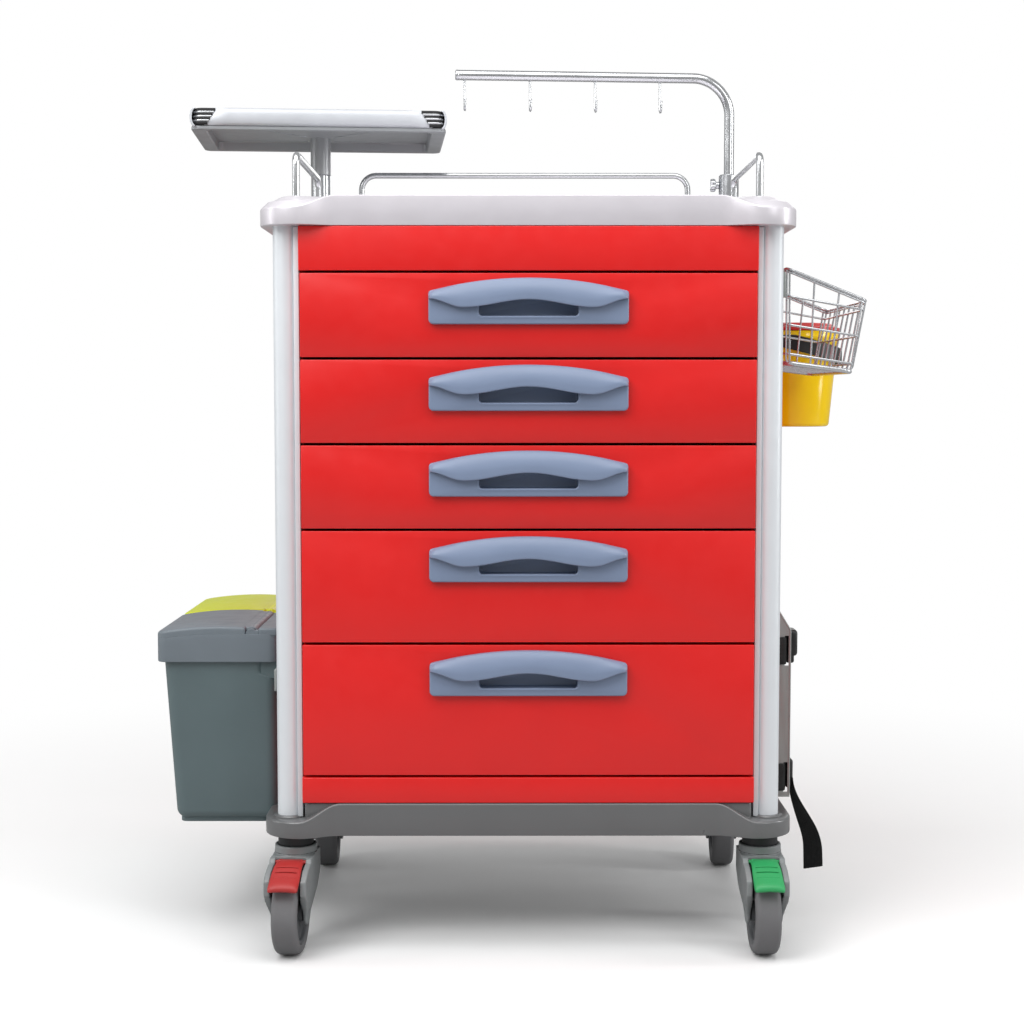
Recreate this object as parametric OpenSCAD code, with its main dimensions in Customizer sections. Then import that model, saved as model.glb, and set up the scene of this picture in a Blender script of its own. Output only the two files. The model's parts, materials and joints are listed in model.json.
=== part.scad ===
// Crash cart: a five-drawer emergency trolley on four braked castors, with guard rails, a swivelling
// monitor shelf, a telescopic infusion pole, waste bins, a wire basket, a sharps bucket and a
// gas-cylinder holder.
// Frame: the origin is on the floor under the middle of the cabinet. +X is to the user's right,
// the drawers face -Y and +Z is up. Sizes are in millimetres.

/* [Cabinet] */
// Width of the worktop and of the base tray
cart_w = 625; // [615:5:635]
// Depth of the worktop and of the base tray
cart_d = 475; // [470:5:480]
// Height of the worktop's rim above the floor
rim_z = 886; // [880:2:900]
// Height of the base tray's underside above the floor
tray_z = 137.5; // [136:0.5:140]
// Radius of the four corners in plan
corner_r = 45; // [40:1:50]
// How far the middle of the front and back edges is set in behind the corners
wing_inset = 15; // [10:1:16]
// Outside radius of the four corner columns
column_r = 14; // [13:0.5:14]

/* [Drawers] */
// Height of each drawer front, from the top one down
drawer_h = [96.5, 96, 96.5, 130.5, 154];
// Gap between one drawer front and the next
drawer_gap = 3.25; // [2:0.25:4]
// Width of the drawer fronts
front_w = 529; // [524:1:530]
// Width of a handle
handle_w = 231; // [200:1:240]

/* [Castors] */
// Radius of the wheels
wheel_r = 50; // [48:1:50]
// Width of a tyre
tyre_w = 30; // [26:1:31]
// Distance from the swivel axis back to the wheel's axle
trail = 35; // [34:1:37]
// Resting direction of the castors: front left, front right, rear left, rear right
castor_yaw = [-4, 0, 2, -3];

/* [Shelf and pole] */
// Width of the monitor shelf without its grips
shelf_w = 300; // [280:5:310]
// Depth of the monitor shelf
shelf_d = 206; // [190:2:210]
// Direction in which the shelf rests
shelf_yaw = 4.5; // [0:0.5:6]
// Height of the pole's arm above the floor
arm_z = 1093; // [1090:1:1150]
// Length of the pole's arm
arm_l = 379; // [376:1:400]
// Direction in which the arm rests
arm_yaw = 4.3; // [0:0.1:8]

/* [Side accessories] */
// Height of the waste bins' lids above the floor
bin_top_z = 376; // [370:1:400]
// Length of one waste bin along the cart's side
bin_l = 168; // [160:1:170]
// Length of the wire basket along the cart's side
basket_l = 260; // [240:5:262]
// Height of the sharps bucket
bucket_h = 130; // [120:1:160]

/* [Hidden] */
$fn = 64;
eps = 0.05;                              // clearance that keeps assembled pieces separate solids
over = 1;                                // how far a cutting tool runs past the face it cuts
sheet = 1.5;                             // thickness of folded sheet steel

board_h = 35;                            // worktop board, underside to rim
board_z = rim_z - board_h;
rim_w = 47;                              // flat border round the recessed worktop
recess_h = 12;                           // depth of the worktop below its rim
worktop_z = rim_z - recess_h;
shell_t = 4;                             // wall of the moulded board and base tray
ledge_h = 20;                            // base tray at its corners
tray_h = 39;                             // base tray in its middle
ledge_z = tray_z + ledge_h;
deck_z = tray_z + tray_h;
wing_in = 221;                           // half length of the straight middle edge
wing_out = 270;                          // where the S-curve has reached the corner's outer line
curve_steps = 16;                        // flats along one S-curve

column_x = 283.5;
column_y = 200;
column_bore_r = 11;
lip_t = 2;                               // lips on a column that grip a side panel
lip_l = 12;
panel_z = [ledge_z + 0.5, board_z - 0.5];

case_x = 265;                            // half width of the steel case
case_y = [-200, 190];
face_y = -222;                           // plane of the drawer fronts and fascias
fascia_gap = 3;
drawer_top_z = board_z - 54.5;           // top edge of the first drawer front
drawer_x = 250;                          // half width of a drawer box
drawer_y = [case_y[0] - 4, 172];
front_y = [face_y, drawer_y[0]];
count = len(drawer_h);
function sum_before(v, i) = i == 0 ? 0 : v[i - 1] + sum_before(v, i - 1);
function drawer_top(i) = drawer_top_z - sum_before(drawer_h, i) - i * drawer_gap;
function drawer_bottom(i) = drawer_top(i) - drawer_h[i];

runner_h = 36;                           // outer runner section
runner_l = 350;
runner_t = 1.2;
runner_x = [drawer_x + 2.5, case_x - sheet];
slider_h = 26;                           // inner runner section
slider_x = [drawer_x + eps, runner_x[1] - runner_t - 1];

handle_top = -5.7;                       // handle levels, measured from the drawer's top edge
handle_shoulder = -21;
handle_bottom = -59;
visor_end = -29;                         // lower edge of the visor at its ends
visor_low = -39;                         // its lowest points
visor_mid = -30;                         // top of its arch
visor_low_x = 75;
pocket_x = 57.3;                         // finger pocket
pocket_z = [-49.4, -16];
pocket_wall = 2;
plate_y = [face_y - 8, face_y];
visor_y = face_y - 17;
pocket_back_y = face_y + 14;

castor_x = 277;
castor_y = 195;
castor_sites = [[-1, -1], [1, -1], [-1, 1], [1, 1]];
fork_w = 50;
well_w = tyre_w + 4;                     // inside width of the fork
hood_r = wheel_r + 8;
well_r = wheel_r + 3;
head_r = 25;
head_z = [113, 123];
kingpin_r = 6;
kingpin_z = 104;
race_r = 21;
axle_r = 4;
hub_r = 38;
pedal_w = 34.8;
pedal_r = [wheel_r + 8, wheel_r + 11];   // the pedal arches over the tyre
pedal_pivot = [-trail + 3, wheel_r + 57.5];
pedal_boss_r = 3.5;
pedal_pin_r = 2.5;

side_rail_r = 4.5;
side_rail_bend = 12;
side_rail_x = 274;
side_rail_y = [-165, 72];
side_rail_z = 944;
back_rail_r = 4;
back_rail_bend = 20;
back_rail_x = 228;
back_rail_y = 215;
back_rail_z = 966;

pole_r = 7;
pole_bend = 51;
pole_foot_z = 400;
socket_top_z = 961;
hook_r = 1.5;
hook_first = 97.5;                       // distance from the pole to the nearest hook
hook_pitch = 90;
hook_count = 4;
knob_r = 9;
knob_stem_r = 3;

post_r = 13.5;
spigot_r = 10;
sleeve_z = [960, 995];
shelf_offset = [9.5, -22];               // middle of the shelf seen from its post
shelf_lip_z = 1008;                      // lower edge of the shelf's outer wall
shelf_deck_z = 1018;
shelf_top_z = 1028;
grip_w = 18;
grip_z = [1010, 1030];

bin_x = [-441, -316];                    // waste bins at their rims
bin_floor_z = 136;
bin_taper = 13;
bin_wall = 2.5;
bin_rim_z = bin_top_z - 40;
bin_body_z = bin_rim_z + 29;
bin_gap = 4;
lid_x = [-446, -305];
flap_z = bin_top_z - 6;                  // seat of the flap, and height of its hinge line
flap_x = -332;                           // hinge line of a bin's flap
flap_pin_r = 2.5;

bucket_c = [368, 170];
bucket_z = 613;
bucket_r = [55, 66];
basket_y = -165;
basket_side = [[306, 691], [389, 681], [405, 770], [306, 808]];
holder_x = 298;
holder_out = 326;
holder_y = [-112, 112];
holder_z = [ledge_z + 0.5, 409];
slot_x = [holder_out - 8, holder_out - 3];
strap_z = [183, 341];
strap_w = 34;
strap_t = 2;
strap_x = [holder_out - 7, holder_out - 7 + strap_t];
buckle_x = [strap_x[1] + eps, holder_out + 9.5];
buckle_y = [holder_y[0] + 5, holder_y[0] + 33];
buckle_h = 42;

// ---- shared shapes ----

// A box given by its two ends along each axis
module block(x, y, z) {
  translate([x[0], y[0], z[0]]) cube([x[1] - x[0], y[1] - y[0], z[1] - z[0]]);
}

// The children and their mirror image
module both(normal = [1, 0, 0]) {
  children();
  mirror(normal) children();
}

// A rectangle with rounded corners, centred
module round_rect(w, d, r) {
  square([w, d - 2 * r], center = true);
  square([w - 2 * r, d], center = true);
  for (sx = [-1, 1], sy = [-1, 1]) {
    translate([sx * (w / 2 - r), sy * (d / 2 - r)]) circle(r);
  }
}

// A side view (Y across, Z up) made as thick as w along X
module from_side(w) {
  rotate([90, 0, 90]) linear_extrude(w, center = true) children();
}

// A front view (X across, Z up) made as deep as d along Y
module from_front(d) {
  rotate([90, 0, 0]) linear_extrude(d, center = true) children();
}

// A cylinder along X, centred
module bar_x(r, l) {
  rotate([0, 90, 0]) cylinder(r = r, h = l, center = true);
}

// 0 to 1 with level ends
function s_curve(t) = (1 - cos(180 * t)) / 2;

// An arc of round bar in the XZ plane, about the origin, from angle a0 through turn degrees
module arc_bar(arc_r, r, a0, turn) {
  rotate([90, 0, 0]) rotate(a0) rotate_extrude(angle = turn) translate([arc_r, 0]) circle(r);
}

// A tube bent through 90 degrees, from pointing up to pointing along +X
module bend(bend_r, r) {
  translate([bend_r, 0, 0]) arc_bar(bend_r, r, 90, 90);
}

// A hoop rail in the XZ plane standing on two feet
module hoop(l, h, bend_r, r) {
  both() {
    translate([-l / 2, 0, 0]) {
      cylinder(r = r, h = h - bend_r);
      cylinder(r = r + 4, h = 3);
      translate([0, 0, h - bend_r]) bend(bend_r, r);
    }
  }
  translate([0, 0, h]) bar_x(r, l - 2 * bend_r);
}

// A clamp knob with its stem pointing along -X from the origin
module clamp_knob(stem) {
  lobes = 6;
  difference() {
    union() {
      translate([-12, 0, 0]) rotate([0, 90, 0]) cylinder(r = knob_r, h = 8);
      translate([-4, 0, 0]) rotate([0, 90, 0]) cylinder(r = 5, h = 4 - eps);
    }
    for (k = [0 : lobes - 1]) {
      rotate([k * 360 / lobes, 0, 0]) translate([-8, 0, knob_r + 1.5]) bar_x(3, 10);
    }
  }
  translate([-2, 0, 0]) rotate([0, 90, 0]) cylinder(r = knob_stem_r, h = stem + 2);
}

// ---- cabinet ----

// The bite that the S-curves take out of a long edge; the edge is Y = 0 and the bite goes to +Y
module wing_bite() {
  rise = [for (k = [0 : curve_steps]) k / curve_steps];
  span = wing_out - wing_in;
  left = [for (t = rise) [-wing_out + t * span, wing_inset * s_curve(t)]];
  right = [for (t = rise) [wing_in + t * span, wing_inset * s_curve(1 - t)]];
  polygon(concat([[-wing_out, -over]], left, right, [[wing_out, -over]]));
}

// Plan of the board and base tray, drawn in by trim all round
module lobed_outline(trim = 0) {
  difference() {
    round_rect(cart_w - 2 * trim, cart_d - 2 * trim, corner_r - trim);
    both([0, 1, 0]) translate([0, -cart_d / 2 + trim]) wing_bite();
  }
}

// A trapezoid with its long side on the ground
function chamfer(half, c) = [[-half, 0], [half, 0], [half - c, c], [-half + c, c]];

// A rounded slab whose top edge is chamfered by c
module chamfered_slab(w, d, r, h, c) {
  linear_extrude(h - c) round_rect(w, d, r);
  translate([0, 0, h - c]) {
    from_front(d - 2 * r) polygon(chamfer(w / 2, c));
    from_side(w - 2 * r) polygon(chamfer(d / 2, c));
    for (sx = [-1, 1], sy = [-1, 1]) {
      translate([sx * (w / 2 - r), sy * (d / 2 - r), 0]) cylinder(r1 = r, r2 = r - c, h = c);
    }
  }
}

module top_board() {
  color("silver") difference() {
    intersection() {
      translate([0, 0, board_z]) linear_extrude(board_h) lobed_outline();
      translate([0, 0, board_z]) chamfered_slab(cart_w, cart_d, corner_r, board_h, wing_inset);
    }
    translate([0, 0, worktop_z]) linear_extrude(recess_h + over)
      round_rect(cart_w - 2 * rim_w, cart_d - 2 * rim_w, 20);
    translate([0, 0, board_z - over]) linear_extrude(worktop_z - shell_t - board_z + over)
      round_rect(2 * wing_in, cart_d - 2 * (wing_inset + shell_t), 20);
    translate([column_x, column_y, board_z - over]) cylinder(r = pole_r + 0.5, h = board_h + 2 * over);
  }
}

// Front view of the base tray's top: raised in the middle, level ledges under the columns
module tray_profile(drop = 0) {
  span = wing_out - wing_in;
  edge = [for (k = [0 : curve_steps]) k / curve_steps];
  step = tray_h - ledge_h;
  left = [for (t = edge) [-wing_out + t * span, ledge_z + step * s_curve(t) - drop]];
  right = [for (t = edge) [wing_in + t * span, ledge_z + step * s_curve(1 - t) - drop]];
  polygon(concat(
    [[-cart_w / 2, tray_z - over], [-cart_w / 2, ledge_z - drop]], left, right,
    [[cart_w / 2, ledge_z - drop], [cart_w / 2, tray_z - over]]));
}

module base_tray() {
  color("dimgray") difference() {
    intersection() {
      translate([0, 0, tray_z]) linear_extrude(tray_h) lobed_outline();
      from_front(cart_d) tray_profile();
    }
    intersection() {
      translate([0, 0, tray_z - over]) linear_extrude(tray_h) lobed_outline(shell_t);
      from_front(cart_d) tray_profile(shell_t);
    }
  }
}

// Steel underframe, and the castors' swivel races and kingpins bolted up to it
module base_frame() {
  bar_z = [tray_z + 2, tray_z + 8];
  race_z = [head_z[1] + 0.3, bar_z[0] - eps];
  color("darkslategray") {
    both() block([castor_x - 24, castor_x + 20], [-castor_y - 16, castor_y + 16], bar_z);
    both([0, 1, 0]) block([-castor_x + 20, castor_x - 20], [castor_y - 20, castor_y],
      [bar_z[0], bar_z[1] + 6]);
    for (s = castor_sites) {
      translate([s[0] * castor_x, s[1] * castor_y, 0]) {
        translate([0, 0, race_z[0]]) cylinder(r = race_r, h = race_z[1] - race_z[0]);
        translate([0, 0, kingpin_z]) cylinder(r = kingpin_r, h = race_z[1] - kingpin_z);
      }
    }
  }
}

// Round aluminium columns with two lips that hold a side panel's edge
module columns() {
  color("gainsboro") both() both([0, 1, 0]) translate([-column_x, -column_y, ledge_z + eps])
    linear_extrude(board_z - ledge_z - eps) difference() {
      union() {
        circle(column_r);
        both() translate([sheet / 2 + 0.1, 0]) square([lip_t, column_r + lip_l]);
      }
      circle(column_bore_r);
      translate([-sheet / 2 - 0.1, column_r]) square([sheet + 0.2, lip_l + over]);
    }
}

// Folded steel case that carries the runners
module carcass() {
  color("firebrick") difference() {
    block([-case_x, case_x], case_y, [deck_z, board_z]);
    block([-case_x + sheet, case_x - sheet], [case_y[0] - over, case_y[1] - sheet],
      [deck_z + sheet, board_z - sheet]);
  }
}

// Folded fascias above and below the drawers
module fascia_panels() {
  bands = [
    [drawer_top_z + fascia_gap, board_z - 0.3],
    [deck_z + 0.3, drawer_bottom(count - 1) - fascia_gap]
  ];
  color("red") for (z = bands) {
    difference() {
      block([-front_w / 2, front_w / 2], [face_y, case_y[0]], z);
      block([-front_w / 2 + sheet, front_w / 2 - sheet], [face_y + sheet, case_y[0] + over],
        [z[0] + sheet, z[1] - sheet]);
    }
  }
}

module cover_panels() {
  gap = 0.3;
  color("firebrick") {
    both() block([column_x - sheet / 2, column_x + sheet / 2],
      [-column_y + column_r + gap, column_y - column_r - gap], panel_z);
    block([-column_x + column_r + gap, column_x - column_r - gap],
      [column_y - sheet / 2, column_y + sheet / 2], [deck_z + 1, panel_z[1]]);
  }
}

// Height of a drawer's runners above the floor
function runner_z(i) = drawer_bottom(i) + 36;

// Cross-section of a C-shaped runner member, open towards -X, its web on the +X side
module c_section(w, h, t) {
  difference() {
    translate([-w, -h / 2]) square([w, h]);
    translate([-w - over, -h / 2 + t]) square([w - t + over, h - 2 * t]);
  }
}

module runners() {
  color("lightsteelblue") for (i = [0 : count - 1]) {
    both() translate([runner_x[1] - eps, case_y[0] + 4 + runner_l / 2, runner_z(i)])
      from_front(runner_l) c_section(runner_x[1] - runner_x[0], runner_h, runner_t);
  }
}

module guard_rails() {
  side_l = side_rail_y[1] - side_rail_y[0];
  side_h = side_rail_z - side_rail_r - rim_z;
  back_h = back_rail_z - back_rail_r - rim_z;
  color("whitesmoke") {
    both() translate([side_rail_x, (side_rail_y[0] + side_rail_y[1]) / 2, rim_z]) rotate(90)
      hoop(side_l, side_h, side_rail_bend, side_rail_r);
    translate([0, back_rail_y, rim_z]) hoop(2 * back_rail_x, back_h, back_rail_bend, back_rail_r);
  }
}

// A button-head screw with a hexagonal socket, head towards +Z
module screw_head() {
  difference() {
    cylinder(r = 4, h = 2);
    translate([0, 0, 0.8]) cylinder(r = 1.8, h = 2, $fn = 6);
  }
}

module screws() {
  rows = [deck_z + 20, (deck_z + board_z) / 2, board_z - 20];
  color("lightgray") for (z = rows) {
    both() translate([column_x - 25, column_y + sheet / 2, z]) rotate([-90, 0, 0]) screw_head();
    both() both([0, 1, 0]) translate([column_x + sheet / 2, column_y - column_r - lip_l - 10, z])
      rotate([0, 90, 0]) screw_head();
  }
}

// ---- drawers ----

// Folded steel front with a window behind the handle
module drawer_front(i) {
  z = [drawer_bottom(i), drawer_top(i)];
  top = drawer_top(i);
  color("red") difference() {
    block([-front_w / 2, front_w / 2], front_y, z);
    block([-front_w / 2 + sheet, front_w / 2 - sheet], [front_y[0] + sheet, front_y[1] + over],
      [z[0] + sheet, z[1] - sheet]);
    block([-pocket_x - pocket_wall - 0.5, pocket_x + pocket_wall + 0.5],
      [front_y[0] - over, front_y[0] + 2 * sheet],
      [top + pocket_z[0] - pocket_wall - 0.5, top + pocket_z[1] + pocket_wall + 0.5]);
  }
}

// Open steel box of welded sheets, with the two sliding runner members on its sides
module drawer_box(i) {
  z = [drawer_bottom(i) + 10, drawer_top(i) - 16];
  inner_x = drawer_x - sheet - eps;
  color("gray") {
    both() block([drawer_x - sheet, drawer_x], drawer_y, z);
    block([-inner_x, inner_x], drawer_y, [z[0], z[0] + sheet]);
    for (y = [drawer_y[0], drawer_y[1] - sheet]) {
      block([-inner_x, inner_x], [y, y + sheet], [z[0] + sheet + eps, z[1]]);
    }
    both() translate([slider_x[0], case_y[0] + 4 + runner_l / 2, runner_z(i)]) mirror([1, 0, 0])
      from_front(runner_l) c_section(slider_x[1] - slider_x[0], slider_h, runner_t);
  }
}

// Front outline of a handle: straight sides under an arched top
module handle_outline() {
  sagitta = handle_top - handle_shoulder;
  arch_r = (pow(handle_w / 2, 2) + pow(sagitta, 2)) / (2 * sagitta);
  intersection() {
    translate([-handle_w / 2, handle_bottom]) square([handle_w, handle_top - handle_bottom]);
    translate([0, handle_top - arch_r]) circle(arch_r, $fn = 360);
  }
}

// Height of the visor's lower edge: level ends, a dip on each side and an arch in the middle
function visor_edge(x) =
  x > visor_low_x
    ? visor_low + (visor_end - visor_low) * s_curve((x - visor_low_x) / (handle_w / 2 - visor_low_x))
    : visor_low + (visor_mid - visor_low) * s_curve(1 - x / visor_low_x);

module visor_outline() {
  steps = 36;
  xs = [for (k = [-steps : steps]) k * handle_w / 2 / steps];
  intersection() {
    handle_outline();
    polygon(concat([for (x = xs) [x, visor_edge(abs(x))]],
      [[handle_w / 2, handle_top + over], [-handle_w / 2, handle_top + over]]));
  }
}

module drawer_handle(i) {
  color("slategray") translate([0, 0, drawer_top(i)]) difference() {
    union() {
      translate([0, (plate_y[0] + plate_y[1]) / 2, 0]) from_front(plate_y[1] - plate_y[0]) handle_outline();
      translate([0, (visor_y + plate_y[0]) / 2, 0]) from_front(plate_y[0] - visor_y) visor_outline();
      block([-pocket_x - pocket_wall, pocket_x + pocket_wall], [plate_y[1] - over, pocket_back_y],
        [pocket_z[0] - pocket_wall, pocket_z[1] + pocket_wall]);
    }
    block([-pocket_x, pocket_x], [visor_y + 6, pocket_back_y - pocket_wall], pocket_z);
  }
}

// ---- castors ----

// Places a castor's children on its swivel axis, turned to its resting direction
module at_castor(k) {
  site = castor_sites[k];
  translate([site[0] * castor_x, site[1] * castor_y, 0]) rotate(castor_yaw[k]) children();
}

module at_axle() {
  translate([0, -trail, wheel_r]) children();
}

// Side view of the fork: hood over the tyre and cheeks down to the axle
module fork_side() {
  boss_r = 15;
  hood_front = -trail - 37;
  intersection() {
    translate([-trail, wheel_r]) circle(hood_r);
    translate([hood_front, wheel_r + 28]) square([hood_r * 2, hood_r]);
  }
  translate([-trail, wheel_r]) circle(boss_r);
  translate(pedal_pivot) circle(pedal_boss_r + 2);
  polygon([
    [head_r, head_z[0]], [head_r, wheel_r + 36], [-trail + boss_r, wheel_r], [-trail - boss_r, wheel_r],
    [hood_front, wheel_r + 28], [hood_front, wheel_r + 44], [-head_r, head_z[0]]
  ]);
}

// Front view of the fork: straight, then drawn in towards the axle
module fork_front() {
  w = fork_w / 2;
  foot = well_w / 2 + 4;
  polygon([
    [-w, head_z[0]], [-w, wheel_r + 20], [-foot, wheel_r - 5], [-foot, wheel_r - 20],
    [foot, wheel_r - 20], [foot, wheel_r - 5], [w, wheel_r + 20], [w, head_z[0]]
  ]);
}

module castor_fork(pedal = true) {
  window_w = pedal_w + 1.2;
  color("darkgray") {
    difference() {
      union() {
        intersection() {
          from_side(fork_w) fork_side();
          from_front(4 * wheel_r) fork_front();
        }
        translate([0, 0, wheel_r + 44]) cylinder(r = head_r, h = head_z[1] - wheel_r - 44);
      }
      at_axle() bar_x(well_r, well_w);
      at_axle() bar_x(axle_r + eps, fork_w + 2 * over);
      translate([0, 0, kingpin_z - 1]) cylinder(r = kingpin_r + eps, h = head_z[1] - kingpin_z + 1 + over);
      if (pedal) {
        block([-window_w / 2, window_w / 2], [-3 * wheel_r, -head_r - 1.5], [wheel_r + 25, head_z[1]]);
        translate([0, pedal_pivot[0], pedal_pivot[1]]) bar_x(pedal_pin_r + eps, pedal_w + 8);
      }
    }
    at_axle() bar_x(axle_r, well_w + 7);
  }
}

module castor_tyre() {
  shoulder = 4;
  color("gray") at_axle() rotate([0, 90, 0]) rotate_extrude() {
    translate([hub_r + eps, -tyre_w / 2]) square([wheel_r - shoulder - hub_r - eps, tyre_w]);
    translate([wheel_r - shoulder - over, -tyre_w / 2 + shoulder])
      square([shoulder + over, tyre_w - 2 * shoulder]);
    for (s = [-1, 1]) {
      translate([wheel_r - shoulder, s * (tyre_w / 2 - shoulder)]) circle(shoulder);
    }
  }
}

module castor_hub() {
  half = tyre_w / 2;
  web = half - 5;
  color("dimgray") at_axle() rotate([0, 90, 0]) rotate_extrude() {
    translate([axle_r + eps, -half - 0.8]) square([8, 2 * half + 1.6]);
    translate([axle_r + eps, -web]) square([hub_r - axle_r - eps, 2 * web]);
    translate([hub_r - 5, -half + 1]) square([5, 2 * half - 2]);
  }
}

// Side view of the brake pedal: an arch over the tyre with a thick toe, hung from its pin
module pedal_side() {
  toe = [-trail - 54, wheel_r + 37];
  intersection() {
    translate([-trail, wheel_r]) difference() {
      circle(pedal_r[1]);
      circle(pedal_r[0]);
    }
    translate([toe[0] + 9, toe[1]]) square([pedal_pivot[0] - toe[0] - 9, pedal_r[1]]);
  }
  translate(pedal_pivot) circle(pedal_boss_r);
  polygon([
    [toe[0] + 19, toe[1] + 10], [toe[0] + 19, toe[1] + 13], [toe[0] + 1.5, toe[1] + 8],
    [toe[0], toe[1] + 6], toe, [toe[0] + 9, toe[1] - 0.5]
  ]);
}

module brake_pedal(tint) {
  color(tint) {
    from_side(pedal_w) pedal_side();
    translate([0, pedal_pivot[0], pedal_pivot[1]]) bar_x(pedal_pin_r, pedal_w + 7);
  }
}

// ---- monitor shelf ----

module at_post() {
  translate([-column_x, column_y, 0]) children();
}

module shelf_post() {
  color("silver") at_post() difference() {
    union() {
      translate([0, 0, rim_z]) cylinder(r = post_r, h = sleeve_z[0] - rim_z);
      translate([0, 0, sleeve_z[0] - over]) cylinder(r = spigot_r, h = sleeve_z[1] - sleeve_z[0] - 4);
      translate([0, 0, rim_z]) cylinder(r = post_r + 3, h = 6);
    }
    translate([0, 0, rim_z + 20]) rotate([0, -90, 0]) cylinder(r = knob_stem_r + eps, h = post_r + over);
  }
}

module shelf_knob() {
  color("black") at_post() translate([-post_r, 0, rim_z + 20]) clamp_knob(post_r - 2);
}

module shelf_sleeve() {
  color("gray") at_post() difference() {
    translate([0, 0, sleeve_z[0] + eps]) cylinder(r = column_r, h = sleeve_z[1] - sleeve_z[0] - 2 * eps);
    translate([0, 0, sleeve_z[0] - over]) cylinder(r = spigot_r + eps, h = sleeve_z[1] - sleeve_z[0] - 2);
  }
}

// The shelf's children are drawn about the middle of the shelf
module at_shelf() {
  at_post() rotate(shelf_yaw) translate([shelf_offset[0], shelf_offset[1], 0]) children();
}

// Section through the shelf: a shallow keel that rises to a level outer wall
module keel(half, foot) {
  polygon([
    [-half, shelf_lip_z], [foot - 20, sleeve_z[1]], [foot + 20, sleeve_z[1]], [half, shelf_lip_z],
    [half, shelf_top_z], [-half, shelf_top_z]
  ]);
}

module shelf_tray() {
  lip = 12;
  color("white") at_shelf() difference() {
    intersection() {
      from_front(shelf_d) keel(shelf_w / 2, -shelf_offset[0]);
      from_side(shelf_w) keel(shelf_d / 2, -shelf_offset[1]);
    }
    translate([0, 0, shelf_deck_z]) linear_extrude(shelf_top_z - shelf_deck_z + over)
      round_rect(shelf_w - 2 * lip, shelf_d - 2 * lip, 10);
  }
}

module shelf_grips() {
  h = grip_z[1] - grip_z[0];
  middle_z = (grip_z[0] + grip_z[1]) / 2;
  color("black") at_shelf() both() translate([shelf_w / 2 + grip_w / 2 + eps, 0, middle_z])
    from_front(shelf_d) round_rect(grip_w, h, 6);
}

// ---- infusion pole ----

module at_pole() {
  translate([column_x, column_y, 0]) children();
}

module iv_socket() {
  color("silver") at_pole() difference() {
    union() {
      translate([0, 0, rim_z]) cylinder(r = column_r, h = socket_top_z - rim_z);
      translate([0, 0, rim_z]) cylinder(r = column_r + 3, h = 6);
    }
    translate([0, 0, rim_z - over]) cylinder(r = pole_r + eps, h = socket_top_z - rim_z + 2 * over);
    translate([0, 0, socket_top_z - 14]) rotate([0, -90, 0])
      cylinder(r = knob_stem_r + eps, h = column_r + over);
  }
}

module iv_knob() {
  color("black") at_pole() translate([-column_r, 0, socket_top_z - 14]) clamp_knob(column_r - pole_r - 1);
}

// Nylon foot that guides the pole inside its column
module iv_glide() {
  color("white") at_pole() difference() {
    translate([0, 0, pole_foot_z - 10]) cylinder(r = column_bore_r - eps, h = 40);
    translate([0, 0, pole_foot_z - eps]) cylinder(r = pole_r + eps, h = 40);
  }
}

// A J-shaped hook hanging from the origin, its curl towards -Y
module iv_hook() {
  drop = 36;
  curl = 6;
  tip = 8;
  translate([0, 0, -drop]) cylinder(r = hook_r, h = drop);
  rotate(-90) {
    translate([curl, 0, -drop]) arc_bar(curl, hook_r, 180, 180);
    translate([2 * curl, 0, -drop]) cylinder(r = hook_r, h = tip);
  }
}

module iv_pole() {
  straight_z = arm_z - pole_bend;
  color("whitesmoke") at_pole() rotate(arm_yaw) {
    translate([0, 0, pole_foot_z]) cylinder(r = pole_r, h = straight_z - pole_foot_z);
    translate([0, 0, straight_z]) mirror([1, 0, 0]) bend(pole_bend, pole_r);
    translate([-(arm_l + pole_bend) / 2, 0, arm_z]) bar_x(pole_r, arm_l - pole_bend);
    for (k = [0 : hook_count - 1]) {
      translate([-hook_first - k * hook_pitch, 0, arm_z - pole_r + over]) iv_hook();
    }
  }
}

// ---- side accessories ----

// Rails and a ring that the bins, the basket and the sharps bucket hang from
module accessory_brackets() {
  wall = [column_x + column_r + 0.2, column_x + column_r + 3.2];
  hook_x = [-bin_x[1] - 5, -bin_x[1] - 2];
  hook_w = bin_l - 40;
  hook_z = bin_rim_z - 8;
  ring_z = bucket_z + bucket_h * 0.8;
  ring_h = 12;
  color("dimgray") {
    mirror([1, 0, 0]) {
      block(wall, [-column_y, column_y], [hook_z - 22, hook_z + 4]);
      for (side = [-1, 1]) {
        at_bin(side) block([wall[0], hook_x[1]], [-hook_w / 2, hook_w / 2], [hook_z, hook_z + 4]);
        at_bin(side) block(hook_x, [-hook_w / 2, hook_w / 2], [hook_z, hook_z + 18]);
      }
    }
    block(wall, [-column_y, column_y], [770, 800]);
    difference() {
      union() {
        translate([bucket_c[0], bucket_c[1], ring_z]) cylinder(r = bucket_r[1] + 2, h = ring_h);
        block([wall[0], bucket_c[0]], [bucket_c[1] - 15, bucket_c[1] + 15], [ring_z, ring_z + ring_h]);
        block(wall, [bucket_c[1] - 25, bucket_c[1] + 25], [ring_z - 10, 771]);
      }
      translate([bucket_c[0], bucket_c[1], ring_z - over])
        cylinder(r = bucket_r[1] - 1, h = ring_h + 2 * over);
    }
  }
}

// Wire basket as its envelope: thin walls and an open top
module basket() {
  t = 3;
  inner = [
    basket_side[0] + [t, t], basket_side[1] + [-t, t],
    basket_side[2] + [-t, over], basket_side[3] + [t, over]
  ];
  color("lightgray") translate([0, basket_y + basket_l / 2, 0]) difference() {
    from_front(basket_l) polygon(basket_side);
    from_front(basket_l - 2 * t) polygon(inner);
  }
}

module at_bucket() {
  translate([bucket_c[0], bucket_c[1], bucket_z]) children();
}

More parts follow.
